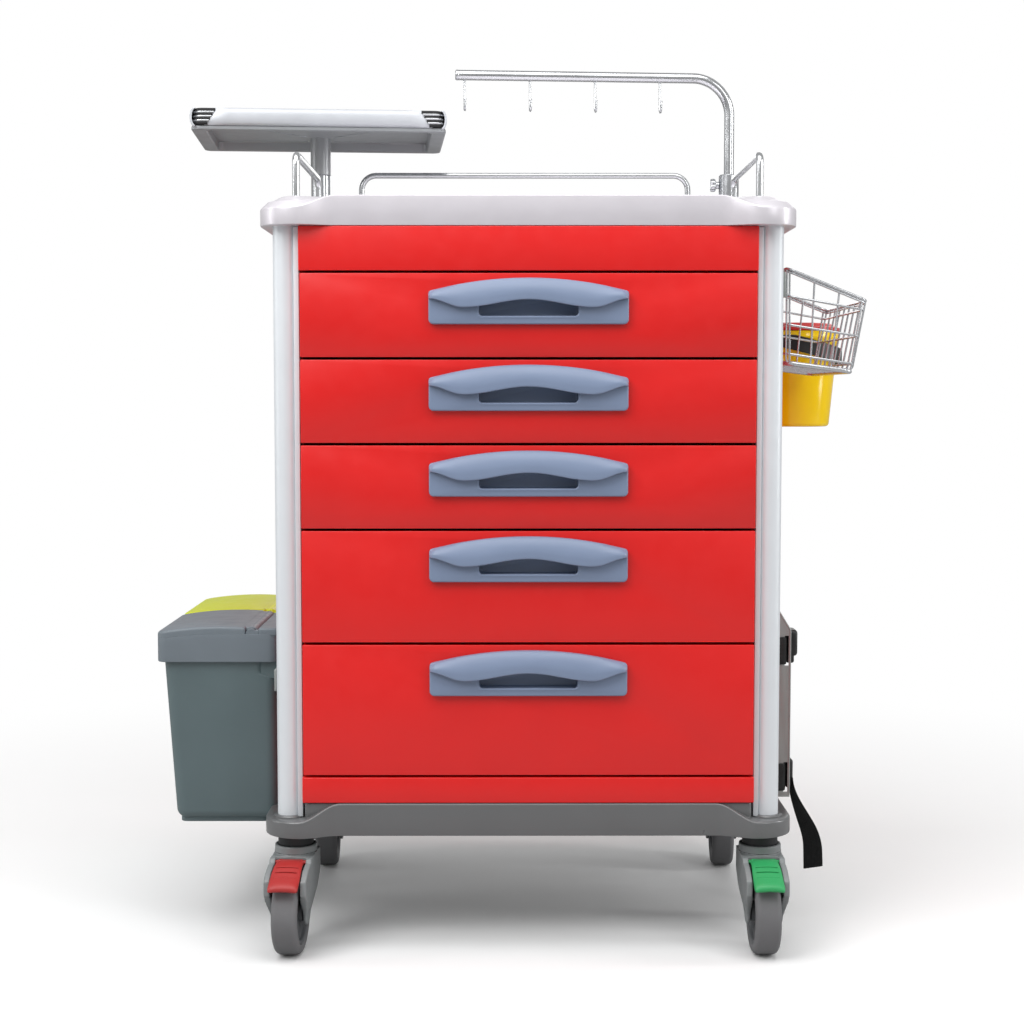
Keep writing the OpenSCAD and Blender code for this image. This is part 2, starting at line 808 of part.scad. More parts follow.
module sharps_bucket() {
  wall = 2;
  color("gold") at_bucket() difference() {
    cylinder(r1 = bucket_r[0], r2 = bucket_r[1] - 1.5, h = bucket_h);
    translate([0, 0, wall]) cylinder(r1 = bucket_r[0] - wall, r2 = bucket_r[1] - 1.5 - wall, h = bucket_h);
  }
}

module sharps_lid() {
  opening = [46, 26];
  color("red") at_bucket() translate([0, 0, bucket_h + eps]) difference() {
    union() {
      cylinder(r = bucket_r[1], h = 5);
      translate([0, 0, 5]) cylinder(r1 = bucket_r[1] - 4, r2 = bucket_r[1] - 12, h = 6);
    }
    translate([0, 0, -over]) linear_extrude(11 + 2 * over) square(opening, center = true);
  }
}

// Sheet-metal trough with two slots in each flange for the straps
module cylinder_holder() {
  top_slope = 42;
  slot_w = strap_w + 3;
  color("silver") difference() {
    union() {
      block([holder_x, holder_x + sheet], holder_y, holder_z);
      for (y = [holder_y[0], holder_y[1] - sheet]) {
        translate([0, y + sheet / 2, 0]) from_front(sheet) polygon([
          [holder_x, holder_z[0]], [holder_out, holder_z[0]], [holder_out, holder_z[1] - top_slope],
          [holder_x, holder_z[1]]
        ]);
      }
    }
    for (z = strap_z) {
      block(slot_x, [holder_y[0] - over, holder_y[1] + over], [z - slot_w / 2, z + slot_w / 2]);
    }
  }
}

// Webbing straps across the trough, and the loose end that hangs from the lower one
module straps() {
  reach = 12;
  tail_bend = 250;
  tail_turn = 27;
  tail_top = [buckle_x[1] + eps + strap_t + tail_bend, buckle_y[1] + 6, strap_z[0] - 5];
  color("black") {
    for (z = strap_z) {
      block(strap_x, [holder_y[0] - reach, holder_y[1] + reach], [z - strap_w / 2, z + strap_w / 2]);
    }
    translate(tail_top) rotate([90, 0, 0]) rotate(180) rotate_extrude(angle = tail_turn)
      translate([tail_bend, 0]) square([strap_t, strap_w]);
  }
}

module buckles() {
  color("black") for (z = strap_z) {
    block(buckle_x, buckle_y, [z - buckle_h / 2, z + buckle_h / 2]);
  }
}

// ---- waste bins ----

// A bin's children are drawn with the bin's middle at Y = 0
module at_bin(side) {
  translate([0, side * (bin_l + bin_gap) / 2, 0]) children();
}

// Tapered solid of a bin's body, drawn in by trim on every side but the top
module bin_solid(trim) {
  half = bin_l / 2 - 5 - trim;
  x = [bin_x[0] + trim, bin_x[1] - trim];
  z = [bin_floor_z + trim, bin_body_z + min(trim, over)];
  intersection() {
    from_front(bin_l) polygon([[x[0], z[1]], [x[0] + bin_taper, z[0]], [x[1], z[0]], [x[1], z[1]]]);
    translate([(x[0] + x[1]) / 2, 0, 0]) from_side(x[1] - x[0]) polygon([
      [-half, z[1]], [-half + bin_taper, z[0]], [half - bin_taper, z[0]], [half, z[1]]
    ]);
  }
}

module bin_bodies() {
  color("slategray") for (side = [-1, 1]) {
    at_bin(side) difference() {
      bin_solid(0);
      bin_solid(bin_wall);
    }
  }
}

// Lid frame: a skirt round the body, a fixed strip along the cart and two hinge knuckles
module bin_rim() {
  w = bin_l / 2;
  knuckle_r = 5;
  knuckle_y = [w - 12, w - 4];
  difference() {
    union() {
      block(lid_x, [-w, w], [bin_rim_z, flap_z]);
      block([flap_x + 6.5, lid_x[1]], [-w, w], [flap_z - over, bin_top_z]);
      both([0, 1, 0]) {
        block([flap_x, flap_x + 7], knuckle_y, [flap_z - over, flap_z + knuckle_r]);
        translate([flap_x, knuckle_y[1], flap_z]) rotate([90, 0, 0])
          cylinder(r = knuckle_r, h = knuckle_y[1] - knuckle_y[0]);
      }
    }
    block([lid_x[0] + 3, lid_x[1] - 3], [-w + 3, w - 3], [bin_rim_z - over, flap_z - 4]);
    block([lid_x[0] + 12, flap_x + 3], [-w + 14, w - 14], [bin_rim_z, flap_z + over]);
    translate([flap_x, 0, flap_z]) rotate([90, 0, 0])
      cylinder(r = flap_pin_r + eps, h = 2 * w - 6, center = true);
  }
}

// Slightly domed flap with its hinge bar
module bin_flap() {
  w = bin_l / 2;
  crown_r = 600;
  crown_x = (lid_x[0] + flap_x) / 2 + 15;
  difference() {
    intersection() {
      block([lid_x[0], flap_x], [-w, w], [flap_z + eps, bin_top_z]);
      translate([crown_x, 0, bin_top_z - crown_r]) rotate([90, 0, 0])
        cylinder(r = crown_r, h = 2 * w, center = true, $fn = 360);
    }
    both([0, 1, 0]) block([flap_x - 6, flap_x + 7], [w - 12.5, w + over], [flap_z - over, bin_top_z + over]);
  }
  translate([flap_x, 0, flap_z]) rotate([90, 0, 0]) cylinder(r = flap_pin_r, h = 2 * w - 7, center = true);
}

// ---- one line per node ----

base_tray();
base_frame();
columns();
carcass();
fascia_panels();
cover_panels();
runners();
top_board();
guard_rails();
screws();
drawer_front(0);  // drawer_1_front
drawer_box(0);  // drawer_1_box
drawer_handle(0);  // drawer_1_handle
drawer_front(1);  // drawer_2_front
drawer_box(1);  // drawer_2_box
drawer_handle(1);  // drawer_2_handle
drawer_front(2);  // drawer_3_front
drawer_box(2);  // drawer_3_box
drawer_handle(2);  // drawer_3_handle
drawer_front(3);  // drawer_4_front
drawer_box(3);  // drawer_4_box
drawer_handle(3);  // drawer_4_handle
drawer_front(4);  // drawer_5_front
drawer_box(4);  // drawer_5_box
drawer_handle(4);  // drawer_5_handle
at_castor(0) castor_fork(true);  // castor_front_left_fork
at_castor(0) castor_tyre();  // castor_front_left_tyre
at_castor(0) castor_hub();  // castor_front_left_hub
at_castor(0) brake_pedal("firebrick");  // pedal_left
at_castor(1) castor_fork(true);  // castor_front_right_fork
at_castor(1) castor_tyre();  // castor_front_right_tyre
at_castor(1) castor_hub();  // castor_front_right_hub
at_castor(1) brake_pedal("seagreen");  // pedal_right
at_castor(2) castor_fork(false);  // castor_rear_left_fork
at_castor(2) castor_tyre();  // castor_rear_left_tyre
at_castor(2) castor_hub();  // castor_rear_left_hub
at_castor(3) castor_fork(false);  // castor_rear_right_fork
at_castor(3) castor_tyre();  // castor_rear_right_tyre
at_castor(3) castor_hub();  // castor_rear_right_hub
shelf_post();
shelf_knob();
shelf_sleeve();
shelf_tray();
shelf_grips();
iv_socket();
iv_knob();
iv_glide();
iv_pole();
accessory_brackets();
basket();
sharps_bucket();
sharps_lid();
cylinder_holder();
straps();
buckles();
bin_bodies();
color("gray") at_bin(-1) bin_rim();  // bin_front_rim
color("gray") at_bin(-1) bin_flap();  // bin_front_flap
color("yellowgreen") at_bin(1) bin_rim();  // bin_rear_rim
color("yellowgreen") at_bin(1) bin_flap();  // bin_rear_flap
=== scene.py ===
import json
from math import atan2, copysign, cos, pi, radians, sin, sqrt, tan

import bmesh
import bpy
from mathutils import Matrix, Vector

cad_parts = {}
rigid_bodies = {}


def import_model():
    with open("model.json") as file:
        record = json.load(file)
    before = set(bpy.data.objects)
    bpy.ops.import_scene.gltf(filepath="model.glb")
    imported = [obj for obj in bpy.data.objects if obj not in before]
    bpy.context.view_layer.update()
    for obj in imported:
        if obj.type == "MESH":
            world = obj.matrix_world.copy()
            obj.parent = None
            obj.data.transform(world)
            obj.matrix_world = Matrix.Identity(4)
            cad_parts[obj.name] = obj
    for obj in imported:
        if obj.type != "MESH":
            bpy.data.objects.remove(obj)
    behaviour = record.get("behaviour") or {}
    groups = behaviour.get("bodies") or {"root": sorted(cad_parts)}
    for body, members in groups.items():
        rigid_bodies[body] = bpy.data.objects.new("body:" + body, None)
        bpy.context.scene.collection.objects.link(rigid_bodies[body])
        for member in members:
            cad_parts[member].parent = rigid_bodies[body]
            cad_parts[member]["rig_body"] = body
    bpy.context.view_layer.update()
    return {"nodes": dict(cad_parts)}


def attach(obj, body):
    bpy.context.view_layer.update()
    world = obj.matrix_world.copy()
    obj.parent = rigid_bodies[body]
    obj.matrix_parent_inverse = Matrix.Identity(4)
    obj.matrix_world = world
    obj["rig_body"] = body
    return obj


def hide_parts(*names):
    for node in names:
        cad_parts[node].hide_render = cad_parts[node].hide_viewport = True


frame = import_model()
NODES = frame["nodes"]
MM = 0.001


# ---- materials ----

def rgb(r, g, b):
    """Linear colour from 0-255 display values."""
    def linear(c):
        c /= 255
        return c / 12.92 if c <= 0.04045 else ((c + 0.055) / 1.055) ** 2.4
    return (linear(r), linear(g), linear(b), 1)


def scaled(colour, k):
    return tuple(min(1, c * k) for c in colour[:3]) + (1,)


class Tree:
    """Short names for building the node tree of a material or a world."""

    def __init__(self, owner):
        owner.use_nodes = True
        self.nodes = owner.node_tree.nodes
        self.link = owner.node_tree.links.new

    def feed(self, sockets, *values):
        """Gives each input a plain value or a link from another node's output."""
        for socket, value in zip(sockets, values):
            if isinstance(value, (int, float, tuple)):
                socket.default_value = value
            else:
                self.link(value, socket)

    def node(self, kind, **values):
        """A new node; values go to inputs of that name, or else to the node's settings."""
        n = self.nodes.new(kind)
        for key, value in values.items():
            if key in n.inputs:
                self.feed([n.inputs[key]], value)
            else:
                setattr(n, key, value)
        return n

    def noise(self, vector, scale, detail):
        return self.node("ShaderNodeTexNoise", Vector=vector, Scale=scale, Detail=detail).outputs["Fac"]

    def ramp(self, value, lo, hi, out_lo=0, out_hi=1, **values):
        ends = {"From Min": lo, "From Max": hi, "To Min": out_lo, "To Max": out_hi}
        return self.node("ShaderNodeMapRange", Value=value, **ends, **values).outputs["Result"]

    def mix(self, factor, a, b):
        n = self.node("ShaderNodeMix", data_type="RGBA", Factor=factor)
        self.feed(n.inputs[6:8], a, b)
        return n.outputs[2]

    def math(self, operation, a, b):
        n = self.node("ShaderNodeMath", operation=operation)
        self.feed(n.inputs, a, b)
        return n.outputs[0]

    def blend(self, factor, a, b):
        n = self.node("ShaderNodeMixShader")
        self.feed(n.inputs, factor, a, b)
        return n.outputs[0]

    def edges(self, radius):
        """1 on worn edges, 0 on flat faces."""
        n = self.node("ShaderNodeVectorMath", operation="DOT_PRODUCT")
        softened_normal = self.node("ShaderNodeBevel", Radius=radius, samples=4).outputs["Normal"]
        self.feed(n.inputs, softened_normal, self.node("ShaderNodeNewGeometry").outputs["Normal"])
        return self.ramp(n.outputs["Value"], 0.97, 0.8)


def surface(name, colour, rough=0.4, metallic=0.0, mottle=0.05, patch=14, grain=(900, 0.08),
            wear=0.3, worn=None, coat=0.0, brush=None, weave=None):
    """A finish with colour patches, fine grain, uneven gloss and paler, duller edges.

    brush stretches the grain along an axis; weave adds the diagonal bands of webbing.
    """
    material = bpy.data.materials.new(name)
    t = Tree(material)
    shader = t.nodes["Principled BSDF"]
    spot = t.node("ShaderNodeTexCoord").outputs["Object"]
    patches = t.ramp(t.noise(spot, patch, 4), 0.3, 0.7)
    tint = t.mix(patches, scaled(colour, 1 - mottle), scaled(colour, 1 + mottle))
    stretched = t.node("ShaderNodeMapping", Vector=spot, Scale=brush).outputs["Vector"] if brush else spot
    fine = t.noise(stretched, grain[0], 2)
    gloss = t.ramp(t.noise(spot, patch * 4, 5), 0.25, 0.75, rough - 0.07, rough + 0.07)
    if brush:
        tint = t.mix(t.ramp(fine, 0.3, 0.7, 0, 0.22), tint, scaled(colour, 0.72))
    if weave:
        wave = t.node("ShaderNodeTexWave", Vector=spot, Scale=weave, Distortion=0.4,
                      bands_direction="DIAGONAL").outputs["Fac"]
        tint = t.mix(wave, scaled(colour, 0.6), scaled(colour, 1.6))
        fine = t.math("ADD", fine, wave)
    if wear:
        rubbed = t.ramp(t.noise(spot, 160, 4), 0.35, 0.65, 0.2, wear * 2)
        worn_edge = t.math("MULTIPLY", t.edges(0.0014), rubbed)
        tint = t.mix(worn_edge, tint, worn or scaled(colour, 1.5))
        gloss = t.math("ADD", gloss, t.math("MULTIPLY", worn_edge, 0.15))
    bump = t.node("ShaderNodeBump", Strength=grain[1], Distance=0.0003, Height=fine).outputs["Normal"]
    for key, value in (("Normal", bump), ("Base Color", tint), ("Roughness", gloss), ("Metallic", metallic),
                       ("Coat Weight", coat), ("Coat Roughness", 0.25)):
        t.feed([shader.inputs[key]], value)
    return material


MOULDED = dict(grain=(2600, 0.015), wear=0)
POLISHED = dict(mottle=0.03, grain=(2600, 0.01), wear=0)
# Each finish: display colour, roughness, metalness and the rest of what surface() takes.
FINISHES = {
    "tray_plastic": ((108, 109, 110), 0.34, 0.3, dict(MOULDED, mottle=0.03, coat=0.3)),
    "frame_steel": ((34, 36, 38), 0.5, 0.2, {}),
    "column_aluminium": ((222, 226, 230), 0.44, 0.2, dict(mottle=0.015, grain=(1500, 0.05))),
    "body_red": ((222, 16, 14), 0.36, 0, dict(mottle=0.02, grain=(2200, 0.06), coat=0.2)),
    "runner_steel": ((178, 181, 184), 0.32, 0.9, dict(brush=(1, 0.03, 1))),
    "drawer_steel": ((186, 189, 192), 0.45, 0.15, dict(grain=(2200, 0.08))),
    "board_plastic": ((220, 216, 222), 0.34, 0.3, dict(MOULDED, mottle=0.015, coat=0.3)),
    "rail_steel": ((208, 210, 212), 0.2, 0.95, POLISHED),
    "wire_steel": ((204, 206, 209), 0.26, 0.8, POLISHED),
    "post_steel": ((198, 200, 203), 0.22, 0.95, POLISHED),
    "screw_steel": ((176, 178, 181), 0.3, 0.9, {}),
    "sleeve_paint": ((176, 178, 180), 0.34, 0.5, {}),
    "shelf_plastic": ((194, 197, 202), 0.35, 0.1, dict(grain=(1600, 0.1), coat=0.15)),
    "grip_rubber": ((30, 30, 32), 0.7, 0, dict(grain=(700, 0.25))),
    "knob_plastic": ((30, 30, 33), 0.45, 0, dict(grain=(1100, 0.2))),
    "glide_nylon": ((232, 232, 226), 0.5, 0, {}),
    "bracket_steel": ((156, 160, 158), 0.4, 0.35, dict(grain=(1800, 0.08))),
    "bucket_yellow": ((255, 212, 0), 0.15, 0, dict(MOULDED, mottle=0.02)),
    "bucket_red": ((200, 34, 32), 0.3, 0, dict(coat=0.3)),
    "webbing": ((22, 24, 24), 0.8, 0, dict(weave=420, grain=(1800, 0.5), wear=0.15)),
    "buckle_plastic": ((14, 15, 16), 0.4, 0, dict(coat=0.1)),
    "bin_grey": ((90, 106, 109), 0.46, 0, dict(grain=(800, 0.22))),
    "bin_lid_grey": ((108, 117, 124), 0.45, 0, dict(grain=(800, 0.2))),
    "bin_lid_green": ((196, 210, 22), 0.4, 0, dict(mottle=0.03, grain=(800, 0.2))),
    "handle_plastic": ((122, 137, 164), 0.38, 0, dict(mottle=0.03, grain=(1100, 0.12), coat=0.1)),
    "castor_plastic": ((132, 136, 137), 0.42, 0, dict(grain=(900, 0.15))),
    "castor_tyre": ((112, 112, 114), 0.66, 0, dict(mottle=0.1, grain=(600, 0.3), worn=rgb(150, 148, 144))),
    "castor_hub": ((84, 86, 89), 0.5, 0, dict(grain=(900, 0.15))),
    "pedal_red": ((172, 46, 44), 0.45, 0, dict(grain=(700, 0.25))),
    "pedal_green": ((46, 158, 92), 0.45, 0, dict(grain=(700, 0.25))),
}
LOOKS = {name: surface(name, rgb(*colour), rough, metallic, **more)
         for name, (colour, rough, metallic, more) in FINISHES.items()}
BLACK_PLASTIC = surface("black_plastic", rgb(26, 27, 29), 0.42, grain=(900, 0.15))
# Grey of the frame under the shelf, darker than the shelf; part of that darkness is painted shade for the
# shadow under the shelf.
KEEL_GREY_AND_SHADE = surface("keel_grey_and_shade", rgb(152, 155, 158), 0.4, 0.2, grain=(1200, 0.15))
BLACK_BAND = surface("black_band", rgb(24, 23, 23), 0.4, mottle=0.08, grain=(900, 0.2), coat=0.15)


# ---- geometry in millimetres ----

class Shape:
    """Vertices and faces collected from several forms."""

    def __init__(self):
        self.verts, self.faces = [], []

    def add(self, form, at=None):
        """Adds another shape or a (vertices, faces) pair, moved by a matrix."""
        verts, faces = (form.verts, form.faces) if isinstance(form, Shape) else form
        base = len(self.verts)
        self.verts += [at @ Vector(v) if at else Vector(v) for v in verts]
        self.faces += [tuple(base + i for i in f) for f in faces]
        return self


def place(x=0.0, y=0.0, z=0.0, yaw=0.0):
    return Matrix.Translation((x, y, z)) @ Matrix.Rotation(radians(yaw), 4, "Z")


def turn(axis, degrees):
    return Matrix.Rotation(radians(degrees), 4, axis)


def s_curve(t):
    return (1 - cos(pi * max(0.0, min(1.0, t)))) / 2


def angles(count):
    """count angles evenly round a circle, from 0."""
    return [2 * pi * k / count for k in range(count)]


def rounding(r, steps):
    """A quarter round as (inset, drop) pairs, from the side of a form up to its top."""
    return [(r * (1 - cos(a)), r * (1 - sin(a)))
            for a in (pi / 2 * k / steps for k in range(steps + 1))]


def bands(rows, count, wrap=False):
    """Quads between rows of count vertices each; wrap joins the last row to the first."""
    faces = []
    for i in range(rows if wrap else rows - 1):
        a, b = i * count, (i + 1) % rows * count
        faces += [(a + k, a + (k + 1) % count, b + (k + 1) % count, b + k) for k in range(count)]
    return faces


def loft(rings, caps=(True, True), wrap=False):
    """A skin over closed rings that have the same number of points."""
    n = len(rings[0])
    faces = bands(len(rings), n, wrap)
    if caps[0] and not wrap:
        faces.append(tuple(reversed(range(n))))
    if caps[1] and not wrap:
        faces.append(tuple(range((len(rings) - 1) * n, len(rings) * n)))
    return [p for ring in rings for p in ring], faces


def zip_cap(first, n):
    """Strips across a ring that is symmetric about the X axis and starts at its +X end."""
    return [(first + i, first + i + 1, first + n - 2 - i, first + n - 1 - i) for i in range(n // 2 - 1)]


def zipped(rings):
    """A skin over rings whose first and last are closed by strips across them."""
    n = len(rings[0])
    verts, faces = loft(rings, (False, False))
    return verts, faces + zip_cap(0, n) + zip_cap((len(rings) - 1) * n, n)


def lathe(profile, steps=72, wrap=False, wobble=lambda a, r, h: 0):
    """Turns (radius, height) pairs about Z; wobble(angle, radius, height) is added to each height."""
    rings = []
    for r, h in profile:
        rings.append([(r * cos(a), r * sin(a), h + wobble(a, r, h)) for a in angles(steps)])
    return loft(rings, wrap=wrap)


def tube(points, radius, sides=14, closed=False):
    """Round bar along a path, without twist."""
    pts = [Vector(p) for p in points]
    n = len(pts)
    rings, side = [], None
    for i, p in enumerate(pts):
        before = pts[(i - 1) % n] if closed or i else p
        after = pts[(i + 1) % n] if closed or i < n - 1 else p
        ahead = (after - before).normalized()
        if side is None:
            side = ahead.orthogonal().normalized()
        side = (side - ahead * side.dot(ahead)).normalized()
        up = ahead.cross(side)
        rings.append([p + radius * (cos(a) * side + sin(a) * up) for a in angles(sides)])
    return loft(rings, (not closed, not closed), closed)


def bent(corners, radius, closed=False, steps=8):
    """A path whose corners are rounded."""
    pts = [Vector(p) for p in corners]
    n, path = len(pts), []
    for i, p in enumerate(pts):
        if not closed and i in (0, n - 1):
            path.append(p)
            continue
        a, b = pts[(i - 1) % n] - p, pts[(i + 1) % n] - p
        half = a.angle(b) / 2
        r = min(radius, 0.45 * min(a.length, b.length) * tan(half))
        reach = r / tan(half)
        centre = p + (a.normalized() + b.normalized()).normalized() * r / sin(half)
        start, end = (p + side.normalized() * reach - centre for side in (a, b))
        path += [centre + r * start.normalized().slerp(end.normalized(), k / steps) for k in range(steps + 1)]
    return path


def ribbon(path, across, width, thick, ribs=7):
    """Ribbed webbing along a path; across gives the width direction at every point."""
    pts = [Vector(p) for p in path]
    rings = []
    for i, p in enumerate(pts):
        ahead = (pts[min(i + 1, len(pts) - 1)] - pts[max(i - 1, 0)]).normalized()
        wide = Vector(across[i]).normalized()
        out = wide.cross(ahead).normalized()
        ring = []
        steps = ribs * 4
        for side in (1, -1):
            for k in range(steps + 1):
                u = side * (k / steps - 0.5)
                edge = sqrt(max(0.0, 1 - (2 * abs(u)) ** 8))
                bulge = thick / 2 * edge * (1 + 0.14 * cos(2 * pi * ribs * (u + 0.5)))
                ring.append(p + wide * u * width + out * side * bulge)
        rings.append(ring)
    return loft(rings)


def arc_corner(cx, cy, r, start, steps):
    return [(cx + r * cos(a), cy + r * sin(a))
            for a in (radians(start + 90 * k / steps) for k in range(steps + 1))]


def plan(hx, hy, r, cx=0.0, cy=0.0, along=(), steps=10):
    """Rounded rectangle from the top of its +X side round to the bottom of it.

    along holds where points are added on the long sides, as shares of their half length.
    """
    top = arc_corner(cx + hx - r, cy + hy - r, r, 0, steps)
    left = arc_corner(cx - hx + r, cy + hy - r, r, 90, steps)
    half = top + [(cx - s * (hx - r), cy + hy) for s in along] + left
    return half + [(x, 2 * cy - y) for x, y in reversed(half)]


def shrink(points, d):
    """The closed outline drawn in by d along its own normals."""
    n, out = len(points), []
    for i, (x, y) in enumerate(points):
        (x0, y0), (x1, y1) = points[i - 1], points[(i + 1) % n]
        a, b = Vector((x - x0, y - y0)).normalized(), Vector((x1 - x, y1 - y)).normalized()
        t = (a + b).normalized()
        k = d / max(0.35, t.dot(a))
        out.append((x - t.y * k, y + t.x * k))
    return out


def levels(points, *rows):
    """Level rings of one outline, at (inset, height) pairs."""
    return [[(x, y, z) for x, y in shrink(points, d)] for d, z in rows]


def round_slab(points, z0, z1, r=1.0, steps=3):
    """A slab with all its edges rounded."""
    low = [(drop, z0 + inset) for inset, drop in rounding(r, steps)]
    high = [(d, z0 + z1 - z) for d, z in reversed(low)]
    return loft(levels(points, *low, *high))


def round_block(x, y, z, r=1.0, corner=None):
    outline = plan((x[1] - x[0]) / 2, (y[1] - y[0]) / 2, corner or r, (x[0] + x[1]) / 2, (y[0] + y[1]) / 2,
                   steps=5)
    return round_slab(outline, z[0], z[1], r)


def blocks(rows):
    """Round blocks from (x range, y range, z range, edge radius[, corner radius]) rows."""
    shape = Shape()
    for row in rows:
        shape.add(round_block(*row))
    return shape


def rod(corners, bend_r, r, sides, closed=False, steps=8):
    """Round bar along corners that are rounded by bend_r."""
    return tube(bent(corners, bend_r, closed, steps), r, sides, closed)


def shade(mesh, degrees=32):
    """Welds, turns faces outward and keeps only real edges sharp."""
    bm = bmesh.new()
    bm.from_mesh(mesh)
    bmesh.ops.remove_doubles(bm, verts=bm.verts, dist=1e-6)
    bmesh.ops.dissolve_degenerate(bm, edges=bm.edges, dist=1e-7)
    bmesh.ops.recalc_face_normals(bm, faces=bm.faces)
    for face in bm.faces:
        face.smooth = True
    for edge in bm.edges:
        edge.smooth = len(edge.link_faces) == 2 and edge.calc_face_angle(0) < radians(degrees)
    bm.to_mesh(mesh)
    bm.free()


def built(name, shape, degrees=32):
    mesh = bpy.data.meshes.new(name)
    mesh.from_pydata([Vector(v) * MM for v in shape.verts], [], shape.faces)
    shade(mesh, degrees)
    obj = bpy.data.objects.new(name, mesh)
    bpy.context.scene.collection.objects.link(obj)
    return obj


def baked(obj):
    """Turns an object's modifiers into its mesh."""
    shown = obj.evaluated_get(bpy.context.evaluated_depsgraph_get())
    mesh = bpy.data.meshes.new_from_object(shown)
    obj.modifiers.clear()
    obj.data = mesh
    return obj


def copied(name, node):
    obj = bpy.data.objects.new(name, NODES[node].data.copy())
    bpy.context.scene.collection.objects.link(obj)
    bm = bmesh.new()
    bm.from_mesh(obj.data)
    bmesh.ops.remove_doubles(bm, verts=bm.verts, dist=2e-6)
    bmesh.ops.dissolve_limit(bm, angle_limit=radians(1), verts=bm.verts, edges=bm.edges)
    bm.to_mesh(obj.data)
    bm.free()
    return obj


def softened(name, node, width=0.8, segments=3):
    """A CAD node's shape with its sharp edges rounded."""
    obj = copied(name, node)
    bevel = obj.modifiers.new("round", "BEVEL")
    bevel.width = width * MM
    bevel.segments = segments
    bevel.limit_method = "ANGLE"
    bevel.angle_limit = radians(35)
    baked(obj)
    shade(obj.data, 40)
    return obj


def moulded(name, node, voxel=1.2, smooth=4):
    """A CAD node's shape with every edge and hollow flowing, as moulded plastic has."""
    obj = copied(name, node)
    remesh = obj.modifiers.new("skin", "REMESH")
    remesh.mode = "VOXEL"
    remesh.voxel_size = voxel * MM
    relax = obj.modifiers.new("relax", "SMOOTH")
    relax.factor = 0.5
    relax.iterations = smooth
    baked(obj)
    shade(obj.data, 60)
    return obj


def piece(obj, look, *nodes, body=None, material=None):
    """Gives a piece its finish, its body and the CAD nodes it stands for."""
    obj.data.materials.clear()
    obj.data.materials.append(material or LOOKS[look])
    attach(obj, body or NODES[nodes[0]]["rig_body"])
    if nodes:
        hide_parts(*nodes)
    return obj


def add_piece(name, shape, look, *nodes, degrees=32, **more):
    """Builds a shape, with edges sharper than degrees kept, and hands it to piece()."""
    piece(built(name, shape, degrees), look, *nodes, **more)


def refinish(node, look):
    """Keeps a CAD node's own shape and gives it a better finish."""
    mesh = NODES[node].data
    mesh.materials.clear()
    mesh.materials.append(LOOKS[look])


# ---- cabinet ----

CART_X, CART_Y, CORNER_R, WING = 312.5, 237.5, 45.0, 15.0
COLUMN_X, COLUMN_Y = 283.5, 200.0
RIM_Z, BOARD_Z, WORKTOP_Z = 886.0, 851.0, 874.0
TRAY_Z, LEDGE_Z, DECK_Z = 137.5, 157.5, 176.5
WELL_X, WELL_Y, WELL_R = 265.5, 190.5, 20.0
PANEL_X = 265.8
RAIL_Y, SIDE_RAIL_TOP, BACK_RAIL_TOP = 215.0, 939.5, 962.0
SHARES = [-1 + 2 * k / 96 for k in range(97)][1:-1]
CORNERS = [(sx, sy) for sx in (-1, 1) for sy in (-1, 1)]


def wing(x):
    """0 at the corners, rising in an S-curve to 1 along the middle of a long side."""
    return s_curve((270 - abs(x)) / 49)


def cart_plan():
    outline = plan(CART_X, CART_Y, CORNER_R, along=SHARES)
    return [(x, y - copysign(WING * wing(x), y) if abs(y) > CART_Y - 1e-6 else y) for x, y in outline]


def board_height(x, inset):
    """Height of the rim: level along the middle of each long side, falling to the outer edge elsewhere."""
    slope = 1 - 0.55 * min(1, inset / 9) - 0.45 * s_curve((inset - 9) / 19)
    return RIM_Z - WING * (1 - wing(x)) * slope


def top_board():
    base = cart_plan()

    def ring(inset, z=None, drop=0.0):
        return [(x, y, board_height(x, inset) - drop if z is None else z) for x, y in shrink(base, inset)]

    rings = [ring(6, BOARD_Z), ring(1.2, BOARD_Z), ring(0.35, BOARD_Z + 0.35), ring(0, BOARD_Z + 1.2)]
    rings += [ring(inset, drop=drop) for inset, drop in rounding(1.3, 5)]
    rings += [ring(d) for d in (2.5, 5, 7.5, 8.6, 9.4, 11, 13, 15, 17, 19.5, 22, 25, 28)]
    well = plan(WELL_X, WELL_Y, WELL_R, along=SHARES)
    rings += levels(well, (-2.6, RIM_Z), (-0.9, RIM_Z - 0.5), (0, RIM_Z - 1.8), (0.4, WORKTOP_Z + 2),
                    (1.4, WORKTOP_Z + 0.5), (3, WORKTOP_Z))
    add_piece("top_board_moulding", Shape().add(loft(rings)), "board_plastic", "top_board", degrees=40)


def base_tray():
    base = cart_plan()

    def height(x, drop=0.0):
        return LEDGE_Z + (DECK_Z - LEDGE_Z) * wing(x) - drop

    def ring(inset, drop=None, z=None):
        return [(x, y, z if drop is None else height(x, drop)) for x, y in shrink(base, inset)]

    inner = [ring(4, 4), ring(4, z=TRAY_Z + 0.4), ring(3.4, z=TRAY_Z)]
    outer = [ring(0.9, z=TRAY_Z), ring(0.25, z=TRAY_Z + 0.3), ring(0, z=TRAY_Z + 1)]
    outer += [ring(inset, drop) for inset, drop in rounding(3, 5)]
    outer += [ring(d, 0) for d in (8, 20)]
    shape = Shape().add(zipped(inner + outer))
    collar = [(14.3, LEDGE_Z - 0.5), (19, LEDGE_Z - 0.5), (19, LEDGE_Z + 0.8), (17.5, LEDGE_Z + 2.2),
              (14.3, LEDGE_Z + 2.6)]
    for sx, sy in CORNERS:
        shape.add(lathe(collar, 48, wrap=True), place(sx * COLUMN_X, sy * COLUMN_Y))
    shape.add(round_slab(plan(264, 205.25, 6, 0, -13.75), LEDGE_Z - 2, DECK_Z - 0.3, 1.5))
    add_piece("base_tray_moulding", shape, "tray_plastic", "base_tray", degrees=35)


